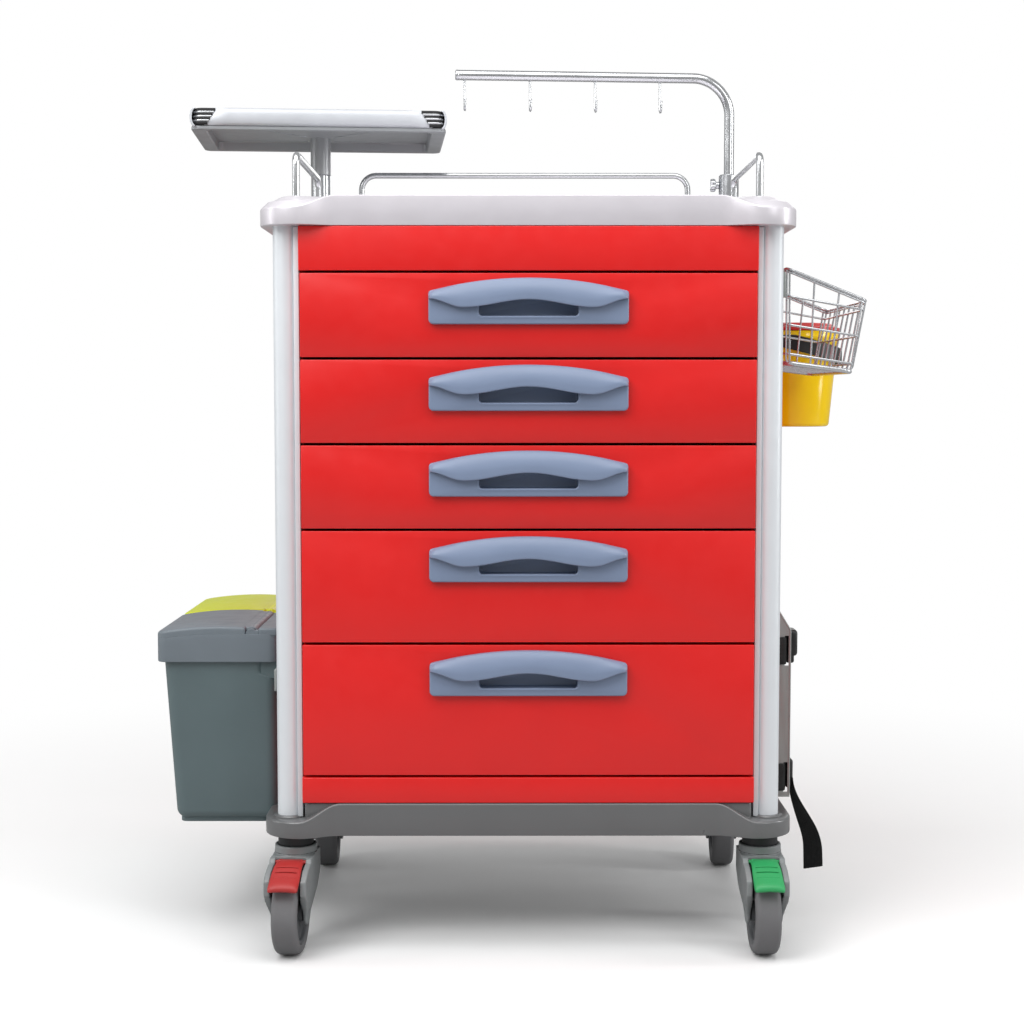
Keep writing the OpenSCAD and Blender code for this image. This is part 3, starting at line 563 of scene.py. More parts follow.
def hoop(corners, r, bend_r):
    """A bent rail with a welded foot flange at each end."""
    shape = Shape().add(rod(corners, bend_r, r, 20))
    flange = [(r - 0.2, -3), (r + 4, -3), (r + 4, 1.6), (r + 2.6, 2.8), (r + 0.8, 3.2), (r - 0.2, 5)]
    for x, y, z in (corners[0], corners[-1]):
        shape.add(lathe(flange, 40, wrap=True), place(x, y, z))
    return shape


def guard_rails():
    for side, name in ((-1, "left"), (1, "right")):
        x, top = side * 274, SIDE_RAIL_TOP
        corners = [(x, -165, RIM_Z), (x, -165, top), (x, 72, top), (x, 72, RIM_Z)]
        add_piece(f"guard_rail_{name}", hoop(corners, 4.5, 12), "rail_steel", "guard_rails")
    y, top = RAIL_Y, BACK_RAIL_TOP
    corners = [(-228, y, RIM_Z), (-228, y, top), (228, y, top), (228, y, RIM_Z)]
    add_piece("guard_rail_back", hoop(corners, 4, 20), "rail_steel", "guard_rails")


# ---- drawers ----

DRAWER_H = (96.5, 96.0, 96.5, 130.5, 154.0)
DRAWER_TOP = [BOARD_Z - 54.5 - sum(DRAWER_H[:i]) - 3.25 * i for i in range(5)]
HALF_HANDLE, ARCH_TOP, SHOULDER, HANDLE_FOOT = 115.5, -5.7, -21.0, -59.0
PLATE_Y, FACE_Y, POCKET_Y = -230.0, -222.0, -210.0
MOUTH_X, MOUTH_Z, MOUTH_MIDDLE = 57.3, 16.7, -32.7
LIP_Z, LIP_WAVE_X, END_RISE, MIDDLE_RISE = -39.0, 75.0, 10.0, 9.0


def arch(x):
    rise = ARCH_TOP - SHOULDER
    r = (HALF_HANDLE ** 2 + rise ** 2) / (2 * rise)
    return ARCH_TOP - r + sqrt(r * r - x * x)


def visor_edge(x):
    """The visor's lower edge: lowest at LIP_WAVE_X, waved up in the middle and at both ends."""
    x = abs(x)
    if x > LIP_WAVE_X:
        return LIP_Z + END_RISE * s_curve((x - LIP_WAVE_X) / (HALF_HANDLE - LIP_WAVE_X))
    return LIP_Z + MIDDLE_RISE * s_curve(1 - x / LIP_WAVE_X)


def even(path, count):
    """count points spaced evenly along a closed path."""
    pts = [Vector(p[:2]) for p in path] + [Vector(path[0][:2])]
    lengths = [(b - a).length for a, b in zip(pts, pts[1:])]
    total, out, i, passed = sum(lengths), [], 0, 0.0
    for k in range(count):
        goal = total * k / count
        while i < len(lengths) - 1 and passed + lengths[i] < goal:
            passed += lengths[i]
            i += 1
        out.append(tuple(pts[i].lerp(pts[i + 1], (goal - passed) / max(lengths[i], 1e-9))))
    return out


def handle_plate():
    """Moulded plate with an arched top, and the finger pocket sunk through it."""
    count, side = 320, HALF_HANDLE
    crown = [(x, arch(x)) for x in ((side - 6) * (1 - k / 30) for k in range(61))]
    corners = [(0, HANDLE_FOOT), (side, HANDLE_FOOT), (side, SHOULDER), crown[0], crown[6]]
    right = bent([(x, z, 0) for x, z in corners], 5.5)[:-1]
    path = [(p.x, p.y) for p in right] + crown[6:55] + [(-p.x, p.y) for p in reversed(right)][:-1]
    outline = even(path, count)
    mouth = plan(MOUTH_X, MOUTH_Z, 4, 0, MOUTH_MIDDLE, steps=8)
    ordered = sorted(((atan2(z - MOUTH_MIDDLE, x) + pi / 2) % (2 * pi), (x, z)) for x, z in mouth)
    pocket = even([(0, min(z for _, z in mouth))] + [p for _, p in ordered], count)

    def ring(points, inset, y):
        return [(x, y, z) for x, z in shrink(points, inset)]

    rings = [ring(pocket, -2, POCKET_Y + 2), ring(pocket, -2, FACE_Y), ring(outline, 0.7, FACE_Y),
             ring(outline, 0, FACE_Y - 0.6)]
    rings += [ring(outline, inset, PLATE_Y + drop) for inset, drop in rounding(2, 5)]
    rings += [ring(pocket, d, y) for d, y in
              ((-3.4, PLATE_Y), (-2.8, PLATE_Y - 0.5), (-2, PLATE_Y - 0.9), (-0.9, PLATE_Y - 0.9),
               (-0.2, PLATE_Y - 0.4), (0, PLATE_Y + 0.6), (0, POCKET_Y - 2), (0.5, POCKET_Y - 0.6),
               (2, POCKET_Y))]
    return loft(rings)


def handle_visor():
    """The hood over the pocket: an arched top and a waved, rolled lower lip."""
    columns, rows, wall, depth = 96, 14, 2.4, 8.4
    back_y = PLATE_Y - 0.4
    rings = []
    for i in range(columns + 1):
        x = -HALF_HANDLE + 0.25 + (2 * HALF_HANDLE - 0.5) * i / columns
        u = abs(x) / HALF_HANDLE
        full = depth * (1 - u ** 14) ** 0.5
        top, low = arch(x) - 0.5 - 60 * max(0, u - 0.95), visor_edge(x)
        thick = max(0.3, min(wall, full + 0.3))
        outer = []
        for k in range(rows + 1):
            v = k / rows
            swell = sin(min(1.0, 1.25 * v) * pi / 2) ** 0.75
            outer.append((x, back_y - full * swell, top + (low - top) * v))
        lip = [(x, back_y - full + thick / 2 * (1 - cos(a)), low - 1.1 * sin(a))
               for a in (pi * k / 6 for k in range(1, 6))]
        inner = [(x, min(y + thick, PLATE_Y + 0.5), z) for _, y, z in reversed(outer)]
        rings.append(outer + lip + inner)
    return loft(rings)


def drawers():
    plate, visor = handle_plate(), handle_visor()
    for i, top in enumerate(DRAWER_TOP):
        name = f"drawer_{i + 1}"
        piece(softened(f"{name}_panel", f"{name}_front", 1.3), "body_red", f"{name}_front")
        piece(softened(f"{name}_tray", f"{name}_box", 0.4, 2), "drawer_steel", f"{name}_box")
        shape = Shape().add(plate, place(z=top)).add(visor, place(z=top))
        add_piece(f"{name}_grip", shape, "handle_plastic", f"{name}_handle", degrees=40)


def cabinet():
    for node, look in (("columns", "column_aluminium"), ("carcass", "body_red"), ("runners", "runner_steel"),
                       ("base_frame", "frame_steel"), ("screws", "screw_steel")):
        refinish(node, look)
    heights = ((DRAWER_TOP[0] + 3, BOARD_Z - 0.4), (DECK_Z + 0.3, DRAWER_TOP[4] - DRAWER_H[4] - 3))
    fascias = blocks([((-PANEL_X, PANEL_X), (FACE_Y, -200.5), z, 1.1) for z in heights])
    add_piece("fascias", fascias, "body_red", "fascia_panels")
    piece(softened("side_and_back_panels", "cover_panels", 0.4, 2), "body_red", "cover_panels")
    flanges = blocks([(sorted((side * (PANEL_X + 0.4), side * (PANEL_X + 6.7))), (-212.6, -196),
                       (LEDGE_Z + 1, BOARD_Z - 0.5), 0.8) for side in (-1, 1)])
    add_piece("column_flanges", flanges, "column_aluminium", body="cabinet")
    top_board()
    base_tray()
    guard_rails()
    drawers()


# ---- castors ----

CASTOR_X, CASTOR_Y = 277.0, 195.0
AXLE_Y, AXLE_Z, PIN_Y, PIN_Z = -35.0, 50.0, -32.0, 107.5
SITES = {"front_left": place(-CASTOR_X, -CASTOR_Y, 0, -4), "front_right": place(CASTOR_X, -CASTOR_Y, 0, 0),
         "rear_left": place(-CASTOR_X, CASTOR_Y, 0, 2), "rear_right": place(CASTOR_X, CASTOR_Y, 0, -3)}
CROWN = 1.7


def tread_plate():
    """The arched foot plate of a brake pedal: crowned across, widening from the pin to a blunt toe."""
    upper = [(-29, 109.5), (-33, 111.5), (-41, 111.9), (-50, 110.4), (-59, 107), (-67, 102.6), (-74, 99.6),
             (-81, 97.4), (-86, 95.2), (-88.6, 92.4), (-88.9, 90.4)]
    lower = [(-29, 106), (-33, 104.6), (-41, 107.4), (-50, 105.8), (-59, 102.2), (-67, 97.4), (-73, 93),
             (-78, 89.2), (-82.5, 87.2), (-86.6, 87.2), (-88.6, 88.8)]
    rings = []
    for k, (top, foot) in enumerate(zip(upper, lower)):
        t = k / (len(upper) - 1)
        half = 15.4 + 2.1 * s_curve(t / 0.6) - 2.4 * max(0.0, (t - 0.8) / 0.2) ** 2
        ring = []
        for a in angles(48):
            u = copysign(abs(cos(a)) ** 0.45, cos(a))
            v = 0.5 + 0.5 * copysign(abs(sin(a)) ** 0.55, sin(a))
            y, z = foot[0] + (top[0] - foot[0]) * v, foot[1] + (top[1] - foot[1]) * v
            ring.append((half * u, y, z - CROWN * u * u))
        rings.append(ring)
    return loft(rings)


def mirrored(profile):
    """A (radius, height) profile followed by its mirror image below height zero."""
    return profile + [(r, -h) for r, h in reversed(profile)]


def wheel_spokes(a, r, h):
    """Seven low ribs on the flat part of the wheel's disc."""
    swell = max(0, cos(7 * a)) ** 3 if 14 < r < 31 else 0
    return copysign(1.6 * swell, h)


def castors():
    tread = [(38.1, 13.6), (39.5, 15)] + [(43.5 + 6.3 * sin(a), 8.7 + 6.3 * cos(a))
                                          for a in (pi / 2 * k / 6 for k in range(7))] + [(50, 3)]
    disc = [(4.1, 15.6), (10.5, 15.6), (11.6, 14.8), (12, 11), (13.5, 10.2), (18, 10), (24, 10), (30, 10),
            (32.5, 10.6), (33.6, 13.2), (35, 13.9), (37.5, 13.9), (38, 13.2)]
    seams = ([(24, 113.2), (25.3, 113.2), (25.3, 114.6), (24, 114.6)],
             [(19, 122.2), (22.4, 122.2), (22.8, 122.9), (21.6, 123.2), (19, 123.2)])
    for site, at in SITES.items():
        node = f"castor_{site}"
        axle = at @ place(0, AXLE_Y, AXLE_Z) @ turn("Y", 90)
        piece(moulded(f"{node}_housing", f"{node}_fork"), "castor_plastic", f"{node}_fork")
        seam = Shape()
        for band in seams:
            seam.add(lathe(band, 64, wrap=True), at)
        add_piece(f"{node}_seam", seam, "castor_plastic", body=NODES[f"{node}_fork"]["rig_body"],
                  material=BLACK_PLASTIC)
        rubber = Shape().add(lathe(mirrored(tread), 96, wrap=True), axle)
        add_piece(f"{node}_rubber", rubber, "castor_tyre", f"{node}_tyre", degrees=30)
        wheel = Shape().add(lathe(mirrored(disc), 84, wrap=True, wobble=wheel_spokes), axle)
        add_piece(f"{node}_wheel_disc", wheel, "castor_hub", f"{node}_hub", degrees=30)


def pedals():
    for side, look in (("left", "pedal_red"), ("right", "pedal_green")):
        node, at = f"pedal_{side}", SITES[f"front_{side}"]
        lever = Shape().add(tread_plate(), at)
        for ends, r in (((20.4, 20.8), 2.5), ((13.5, 14), 3.5)):
            xs = [-ends[1], -ends[0], ends[0], ends[1]]
            lever.add(tube([(x, PIN_Y, PIN_Z) for x in xs], r, 24), at)
        add_piece(f"{node}_lever", lever, look, node, degrees=50)
        ribs = Shape()
        for a in (radians(degrees) for degrees in (46, 54, 62, 70)):
            path = []
            for x in (-13 + 26 * k / 12 for k in range(13)):
                r = 62.4 - CROWN * (x / 17) ** 2
                path.append((x, AXLE_Y - r * cos(a), AXLE_Z + r * sin(a)))
            ribs.add(tube(path, 0.6, 8), at)
        add_piece(f"{node}_ribs", ribs, look, body=NODES[node]["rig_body"])


# ---- shelf and pole ----

SHELF = place(-COLUMN_X, COLUMN_Y, 0, 4.5) @ place(1.5, -22)
SHELF_Y, BUMPER_X, BUMPER_Z = 103.0, 160.0, 1019.0
FOOT_Z, CEILING_Z = 1010.2, 1015.5
SHELF_SHARES = [-0.9 + 0.1 * k for k in range(19)]


def knob(stem):
    """A clamp knob: its lobed head lies towards -X and its screw reaches stem towards +X."""
    rings = []
    for x, inset in ((-12, 3), (-11.7, 1.2), (-10.8, 0.3), (-9, 0), (-6.5, 0), (-5, 0.5), (-4.2, 1.8),
                     (-4, 3.5)):
        spread = [(a, 9 - inset - 1.3 * (0.5 + 0.5 * cos(6 * a)) ** 2) for a in angles(60)]
        rings.append([(x, r * cos(a), r * sin(a)) for a, r in spread])
    shape = Shape().add(loft(rings))
    shape.add(tube([(-4.2, 0, 0), (-0.1, 0, 0)], 5, 32)).add(tube([(-1, 0, 0), (stem, 0, 0)], 3, 20))
    return shape


def turned(name, profile, look, node, at):
    add_piece(name, Shape().add(lathe(profile, 72, wrap=True), at), look, node, degrees=30)


def shelf():
    post = place(-COLUMN_X, COLUMN_Y)
    turned("shelf_post_tube", [(0.1, 878), (16.5, 878), (16.5, 890.4), (15.4, 892), (13.5, 892.6),
                               (13.5, 959), (12.8, 960), (10, 960), (10, 990), (9, 991), (0.1, 991)],
           "post_steel", "shelf_post", post)
    clamp = Shape().add(knob(11.5), place(-COLUMN_X - 13.5, COLUMN_Y, 906))
    add_piece("shelf_clamp_knob", clamp, "knob_plastic", "shelf_knob")
    turned("shelf_swivel_sleeve", [(10.1, 960.1), (13.4, 960.1), (14, 960.7), (14, 1010.6), (0.1, 1010.6),
                                   (0.1, 993), (10.1, 992.8)],
           "sleeve_paint", "shelf_sleeve", post)

    outline, well = plan(150, SHELF_Y, 9, along=SHELF_SHARES), plan(138, 91, 8, along=SHELF_SHARES)
    wall = levels(outline, (6, 1016), (1.2, 1016), (1.2, 1008.6), (0.6, 1008.6), (0, 1009.4), (0, 1024),
                  (0.5, 1026), (1.7, 1027.5), (3.6, 1028))
    wall += levels(well, (-3.4, 1027.9), (-1.4, 1026.9), (-0.5, 1024.6), (0, 1020), (0.7, 1018.6),
                   (2.4, 1018))
    tray = Shape().add(loft(wall), SHELF).add(shelf_fascia(), SHELF)
    add_piece("shelf_moulding", tray, "shelf_plastic", "shelf_tray", degrees=40)
    # The underside takes the darker grey, which carries painted shade for the shadow under the shelf.
    add_piece("shelf_underside", shelf_keel(), "shelf_plastic", body="shelf", material=KEEL_GREY_AND_SHADE, degrees=40)
    shelf_ends()


def shelf_keel():
    """The frame under the shelf: a lip around a pan that falls to the sleeve, with four ribs."""
    edge, pan = plan(167.5, SHELF_Y, 12, along=SHELF_SHARES), plan(147.5, 93, 8, along=SHELF_SHARES)
    foot = plan(20, 20, 6, -1.5, 22, along=SHELF_SHARES)
    climb = CEILING_Z - FOOT_Z
    rings = levels(foot, (5, FOOT_Z), (0, FOOT_Z))
    for t in (k / 6 for k in range(1, 7)):
        rings.append([(a + (c - a) * t, b + (d - b) * t, FOOT_Z + climb * t ** 0.8)
                      for (a, b), (c, d) in zip(foot, shrink(pan, 1))])
    rings += levels(pan, (0.3, 1014.9), (0, 1014), (-0.6, 1005), (-1.4, 1003.6), (-2.6, 1003.1))
    rings += levels(edge, (3.4, 1003), (1.2, 1003.2), (0.2, 1004), (0, 1005.5), (0.4, 1008), (1.4, 1008.6))
    rings += levels(pan, (-1.5, 1008.7), (-1.5, 1016.2))
    keel = Shape().add(loft(rings), SHELF)
    for sx, sy in CORNERS:
        a, b = Vector((-1.5 + sx * 19, 22 + sy * 19, FOOT_Z)), Vector((sx * 145, sy * 91, CEILING_Z))
        rib = [a.lerp(b, t) + Vector((0, 0, climb * (t ** 0.8 - t))) for t in (k / 8 for k in range(9))]
        keel.add(tube(rib, 1.3, 10), SHELF)
    return keel


def shelf_ends():
    """The wrapped bumpers at the shelf's ends, their bright strips and the curved end plates."""
    black, silver, plates = Shape(), Shape(), Shape()
    for side in (-1, 1):
        black.add(round_block(sorted((side * 150.3, side * 161)), (-101, 101), (1009, 1029), 1), SHELF)
        for bars, count, r, out, first in ((black, 4, 2.7, 0, 1011.6), (silver, 3, 1.5, 1.9, 1014.35)):
            for z in (first + 5.5 * k for k in range(count)):
                lean = 133 - 0.62 * (z - 1031)
                x, y = side * (161.6 + out), -104.2 - out
                bars.add(rod([(side * lean, y, z), (x, y, z), (x, 102, z)], 11, r, 12), SHELF)
        profile = []
        for k in range(17):
            a = radians(-70 + 140 * k / 16)
            rise = 12.4 * sin(a) / sin(radians(70))
            profile.append((side * (150 + 18.4 * cos(a * 0.6)), BUMPER_Z + rise))
        section = profile + [(x - side * 2.4, z) for x, z in reversed(profile)]
        middle = side * BUMPER_X
        rings = [[(middle + (x - middle) * share, y, BUMPER_Z + (z - BUMPER_Z) * share) for x, z in section]
                 for y, share in ((-106.4, 0.9), (-105.6, 0.98), (-104, 1), (102, 1), (103, 0.985),
                                  (103.6, 0.93))]
        plates.add(loft(rings), SHELF)
    add_piece("shelf_bumpers", black, "grip_rubber", "shelf_grips")
    add_piece("shelf_bumper_strips", silver, "post_steel", body="shelf")
    add_piece("shelf_end_plates", plates, "shelf_plastic", body="shelf")


def shelf_fascia():
    """Convex front panel whose ends lean in towards the top."""
    rings = []
    for k in range(25):
        t = -1 + 2 * k / 24
        ring = []
        for face in (1, -1):
            for m in range(11):
                v = m / 10 if face > 0 else 1 - m / 10
                z = 1008.8 + 22.4 * v
                half = 149.5 - 14 * v
                ends = (1 - abs(t) ** 24) ** 0.5 if abs(t) < 1 else 0.25
                swell = (1 - abs(2 * v - 1) ** 2.4) ** 0.6 * 4.6
                y = -103.6 - (0.8 + swell) * max(0.25, ends) if face > 0 else -102.6
                ring.append((t * half, y, z))
        rings.append(ring)
    return loft(rings)


def hook():
    path = [(0, 0, 1), (0, 0, -36)]
    path += [(0, -6 + 6 * cos(a), -36 - 6 * sin(a)) for a in (pi * k / 12 for k in range(1, 13))]
    path.append((0, -12, -28.8))
    shape = Shape().add(tube(path, 1.6, 12))
    shape.add(lathe([(0.05, 1.6), (1.4, 1.2), (2.1, 0), (1.4, -1.2), (0.05, -1.6)], 16), place(0, -12, -28.3))
    shape.add(lathe([(1.4, 0), (3.2, 0), (3.0, -1.6), (1.4, -2.4)], 24, wrap=True), place(0, 0, 0.6))
    return shape


def pole():
    post = place(COLUMN_X, COLUMN_Y)
    turned("pole_socket", [(7.1, 878), (17, 878), (17, 890.4), (15.8, 892), (14, 892.6), (14, 959.6),
                           (13, 961), (8.2, 961), (7.1, 960)], "post_steel", "iv_socket", post)
    clamp = Shape().add(knob(6), place(COLUMN_X - 14, COLUMN_Y, 947))
    add_piece("pole_clamp_knob", clamp, "post_steel", "iv_knob")
    turned("pole_foot_bush", [(7.1, 400), (10.5, 400), (10.5, 429), (9.8, 430), (7.8, 430), (7.1, 429)],
           "glide_nylon", "iv_glide", post)
    at, arm, arm_z = place(COLUMN_X, COLUMN_Y, 0, 4.3), -379, 1093
    shape = Shape().add(rod([(0, 0, 400), (0, 0, arm_z), (arm, 0, arm_z)], 51, 7, 28, steps=24), at)
    cap = [(0.1, 0), (5.6, 0), (6.8, 0.8), (7.2, 2), (7.2, 4), (6.9, 4.4)]
    shape.add(lathe(cap, 40), at @ place(arm - 1.2, 0, arm_z) @ turn("Y", 90))
    for k in range(4):
        shape.add(hook(), at @ place(-97.5 - 90 * k, 0, arm_z - 6))
    add_piece("pole_with_hooks", shape, "rail_steel", "iv_pole")


# ---- right side: basket, sharps bucket, cylinder holder ----

INNER_FOOT, OUTER_FOOT = Vector((306, 691)), Vector((389, 681))
INNER_RIM, OUTER_RIM = Vector((306, 808)), Vector((405, 770))
BASKET_Y = (-165, 95)


def basket():
    """The basket's section is a four-sided frame in X and Z, drawn out along Y."""
    lo, hi = BASKET_Y
    wires = Shape()

    def loop(inner, outer, inset, r, bend_r, sides=14):
        """A closed wire round the basket, through a point of its inner side and one of its outer side."""
        near, far = lo + inset, hi - inset
        corners = [(inner[0], near, inner[1]), (outer[0], near, outer[1]), (outer[0], far, outer[1]),
                   (inner[0], far, inner[1])]
        wires.add(rod(corners, bend_r, r, sides, True))

    for drop, r in ((1.9, 1.9), (5.2, 1.3)):
        loop(INNER_RIM + Vector((2, -drop)), OUTER_RIM - Vector((2 + drop * 0.18, drop)), 2, r, 9)
    loop(INNER_FOOT + Vector((3, 3)), OUTER_FOOT + Vector((-4, 3.2)), 3, 3, 9)
    for inner_z, outer_z in ((774, 757), (740, 726), (705.5, 693)):
        share = (outer_z - OUTER_FOOT.y) / (OUTER_RIM.y - OUTER_FOOT.y)
        outer = OUTER_FOOT.lerp(OUTER_RIM, share) - Vector((3.2, 0))
        loop((INNER_FOOT.x + 1.6, inner_z), outer, 2, 1.4, 7, 10)
    for y in (lo + 5 + (hi - lo - 10) * k / 8 for k in range(9)):
        corners = [(308, y, 804.5), (308, y, 694), (386.5, y, 684.5), (402, y, 768)]
        wires.add(rod(corners, 7, 1.25, 10))
    for y, inner in ((lo + 3.4, lo + 30), (hi - 3.4, hi - 30)):
        for t in (0.06, 0.36, 0.66, 0.94):
            foot = INNER_FOOT.lerp(OUTER_FOOT, t) + Vector((1, 4))
            rim = INNER_RIM.lerp(OUTER_RIM, t) - Vector((1, 3))
            corners = [(rim.x, y, rim.y), (foot.x, y, foot.y), (foot.x, inner, foot.y)]
            wires.add(rod(corners, 6, 1.25, 10))
    for y in (-120, 50):
        clip = [(299.5, y, 800), (303, y, 803), (311, y, 809), (313, y, 801), (313, y, 797)]
        wires.add(rod(clip, 3, 1.8, 10))
    add_piece("wire_basket", wires, "wire_steel", "basket")


BUCKET_X, BUCKET_Y, BUCKET_Z, LID_Z, LID_R = 368.0, 170.0, 613.0, 130.0, 66.0


def circle(r, z):
    return [(r * cos(a), r * sin(a), z) for a in angles(96)]


def sharps():
    at = place(BUCKET_X, BUCKET_Y, BUCKET_Z)

    def wall(z):
        return 52 + 12.5 * z / LID_Z

    floor = [(0.1, 1.8), (43, 1.8), (45, 0.2), (48, 0), (50.6, 0.9), (52, 2.8)]
    outside = [(wall(z), z) for z in (5.5, 60, 118)] + [(wall(z) + 1.1, z) for z in (120, 123)]
    outside += [(wall(z), z) for z in (125, 129.6)]
    inside = [(wall(129.8) - 2, 129.8), (wall(5) - 2.2, 5), (47, 2.4), (0.1, 2.2)]
    bucket = Shape().add(lathe(floor + outside + inside, 96, wrap=True), at)
    add_piece("bucket_body", bucket, "bucket_yellow", "sharps_bucket")

    slot = even(plan(23, 13, 4, steps=17), 96)
    start = min(range(96), key=lambda i: abs(atan2(slot[i][1], slot[i][0])))
    slot = slot[start:] + slot[:start]
    rings = levels(slot, (0, 0.1))
    rings += [circle(LID_R - inset, z) for inset, z in ((8, 0.1), (0.8, 0.1), (0, 0.9), (0, 4), (0.8, 4.9),
                                                        (3.4, 5.2), (5.5, 6.4), (10, 9.6), (12.4, 10.8))]
    rings += levels(slot, (-4, 10.9), (-1, 11), (0, 10.2))
    lid = Shape().add(loft(rings, wrap=True), at @ place(z=LID_Z))
    add_piece("bucket_lid", lid, "bucket_red", "sharps_lid")

    rings = []
    for c, d, _ in circle(1, 0):
        low, high = 101.5 - 17 * c, min(124, 122.5 - 17 * c)
        section = [(66.2, low + 1), (66.2, high - 1), (67, high), (68.4, high), (69.3, high - 1),
                   (69.3, low + 1), (68.4, low), (67, low)]
        rings.append([(r * c, r * d, z) for r, z in section])
    add_piece("bucket_holding_band", Shape().add(loft(rings, wrap=True), at), "buckle_plastic",
              body="cabinet", material=BLACK_BAND)


HOLDER_OUT, HOLDER_Y = 326.0, 112.0
STRAP_Z, STRAP_WIDTH, STRAP_THICK = (183.0, 341.0), 34.0, 1.7


def cylinder_holder():
    piece(softened("holder_trough", "cylinder_holder", 0.45, 2), "bracket_steel", "cylinder_holder")
    lips = Shape()
    for side in (-1, 1):
        x, y = HOLDER_OUT - 1.2, side * (HOLDER_Y - 0.7)
        lips.add(rod([(299.5, y, 408), (x, y, 366.5), (x, y, 159.5)], 4, 1.25, 12))
    add_piece("holder_rolled_edges", lips, "bracket_steel", body="cabinet")

    straps = Shape()
    for z in STRAP_Z:
        half = bent([(303, -HOLDER_Y - 1.5, z), (311, -HOLDER_Y - 1.8, z), (320, -HOLDER_Y - 0.6, z),
                     (320, -HOLDER_Y + 12, z)], 4.5)
        path = half + [Vector((320, y, z)) for y in (-60, 0, 60)]
        path += [Vector((p.x, -p.y, p.z)) for p in reversed(half)]
        straps.add(ribbon(path, [(0, 0, 1)] * len(path), STRAP_WIDTH, STRAP_THICK))
    straps.add(loose_end())
    add_piece("holding_straps", straps, "webbing", "straps", degrees=50)

    buckles = blocks([((321.2, 335.2), (-107, -79), (333, 366), 4.5, 5),
                      ((321.2, 331), (-106, -80), (324.6, 337), 2.4, 3),
                      ((321.2, 331), (-107, -79), (168, 204), 3.6, 4)])
    add_piece("strap_buckles", buckles, "buckle_plastic", "buckles", degrees=35)


def loose_end():
    """The lower strap's hanging end: it swings out, twists towards the front and is cut on a slant."""
    path, across = [], []
    for t in (k / 40 for k in range(41)):
        drift = s_curve(t * 1.25)
        path.append((329.5 + 25 * drift + 5 * t, -93 - 3 * sin(pi * t), 181 - 117 * t))
        a = radians(88 - 34 * s_curve(t * 1.6))
        across.append((cos(a), -sin(a), 0.0))
    verts, faces = ribbon(path, across, STRAP_WIDTH - 1, STRAP_THICK)
    tip_x = path[-1][0]
    cut = [Vector((v.x, v.y, v.z + max(0.0, (84 - v.z) / 20) * (v.x - tip_x) * 0.55)) for v in verts]
    return cut, faces


def brackets():
    """Rails on both sides, the hooks behind the bins and the arm that carries the bucket's band."""
    rows = [((-300.7, -297.7), (-200, 200), (306, 332), 1), ((297.7, 300.7), (-200, 200), (770, 800), 1)]
    for side in (-1, 1):
        y = sorted((side * (HALF_BIN + 2 - 64), side * (HALF_BIN + 2 + 64)))
        rows += [((-314, -298), y, (328, 332), 1), ((-314, -311), y, (328, 346), 1)]
    rows += [((297.7, 300.7), (145, 195), (707, 772), 1), ((298, 304), (155, 185), (718, 738), 1.2)]
    shape = blocks(rows)
    for y in (152, 188):
        shape.add(lathe([(0.1, 0), (4.2, 0), (4.2, 1.2), (3.2, 2.2), (0.1, 2.4)], 24),
                  place(300.7, y, 758) @ turn("Y", 90))
    add_piece("side_brackets", shape, "bracket_steel", "accessory_brackets")


# ---- waste bins ----

BIN_X, LID_X, FLAP_X = (-441.0, -316.0), (-446.0, -300.0), -332.0
BIN_FLOOR, BODY_TOP, SKIRT_Z, FLAP_Z, BIN_TOP = 136.0, 365.0, 336.0, 370.0, 376.0
HALF_BIN, KNUCKLE = 84.0, 7.2
EDGE = [-0.95 + 0.1 * k for k in range(20)]


def bin_body(at):
    """A tapered tub with hollow inside, low plinth and three faint ribs on its outer face."""
    def ring(z, inset=0.0):
        t = (z - BIN_FLOOR) / (BODY_TOP - BIN_FLOOR)
        x0, half = BIN_X[0] + 13 * (1 - t), HALF_BIN - 5 - 13 * (1 - t)
        x1 = BIN_X[1] + 13.5 * s_curve((322 - z) / 6)
        outline = plan((x1 - x0) / 2, half, 14, (x1 + x0) / 2, 0, EDGE, 8)
        return [(x, y, z) for x, y in shrink(outline, inset)]

    rings = [ring(z, inset) for z, inset in ((144.5, 12), (145.5, 7.5), (150, 4), (156, 2.8), (250, 2.6),
                                             (364.4, 2.6), (365, 2), (365, 0.6), (364.4, 0))]
    rings += [ring(z) for z in (324, 322, 320.5, 319, 317.5, 316, 314, 260, 200)]
    rings += [ring(140.5 + drop, inset) for inset, drop in rounding(11, 7)]
    shape = Shape().add(zipped(rings), at)
    for side in (-1, 1):
        y = sorted((side * 65, side * (HALF_BIN - 8.4)))
        shape.add(round_block((-322, BIN_X[1] + 13.3), y, (315, SKIRT_Z + 2), 1), at)
    shape.add(round_slab(plan(54, 59, 8, -370, 0, steps=6), BIN_FLOOR, 142, 1), at)
    for y in (-28, 0, 28):
        rib = [(3.4, 352), (3.4, 351), (12.5, 190), (12.6, 189)]
        shape.add(tube([(BIN_X[0] + x, y, z) for x, z in rib], 1.6, 8), at)
    return shape


def skirt_top(x):
    """The lid frame's upper edge: level at the hinge side, falling towards the outer face."""
    return FLAP_Z - 0.4 - 6.2 * max(0.0, (-374 - x) / 72) ** 2


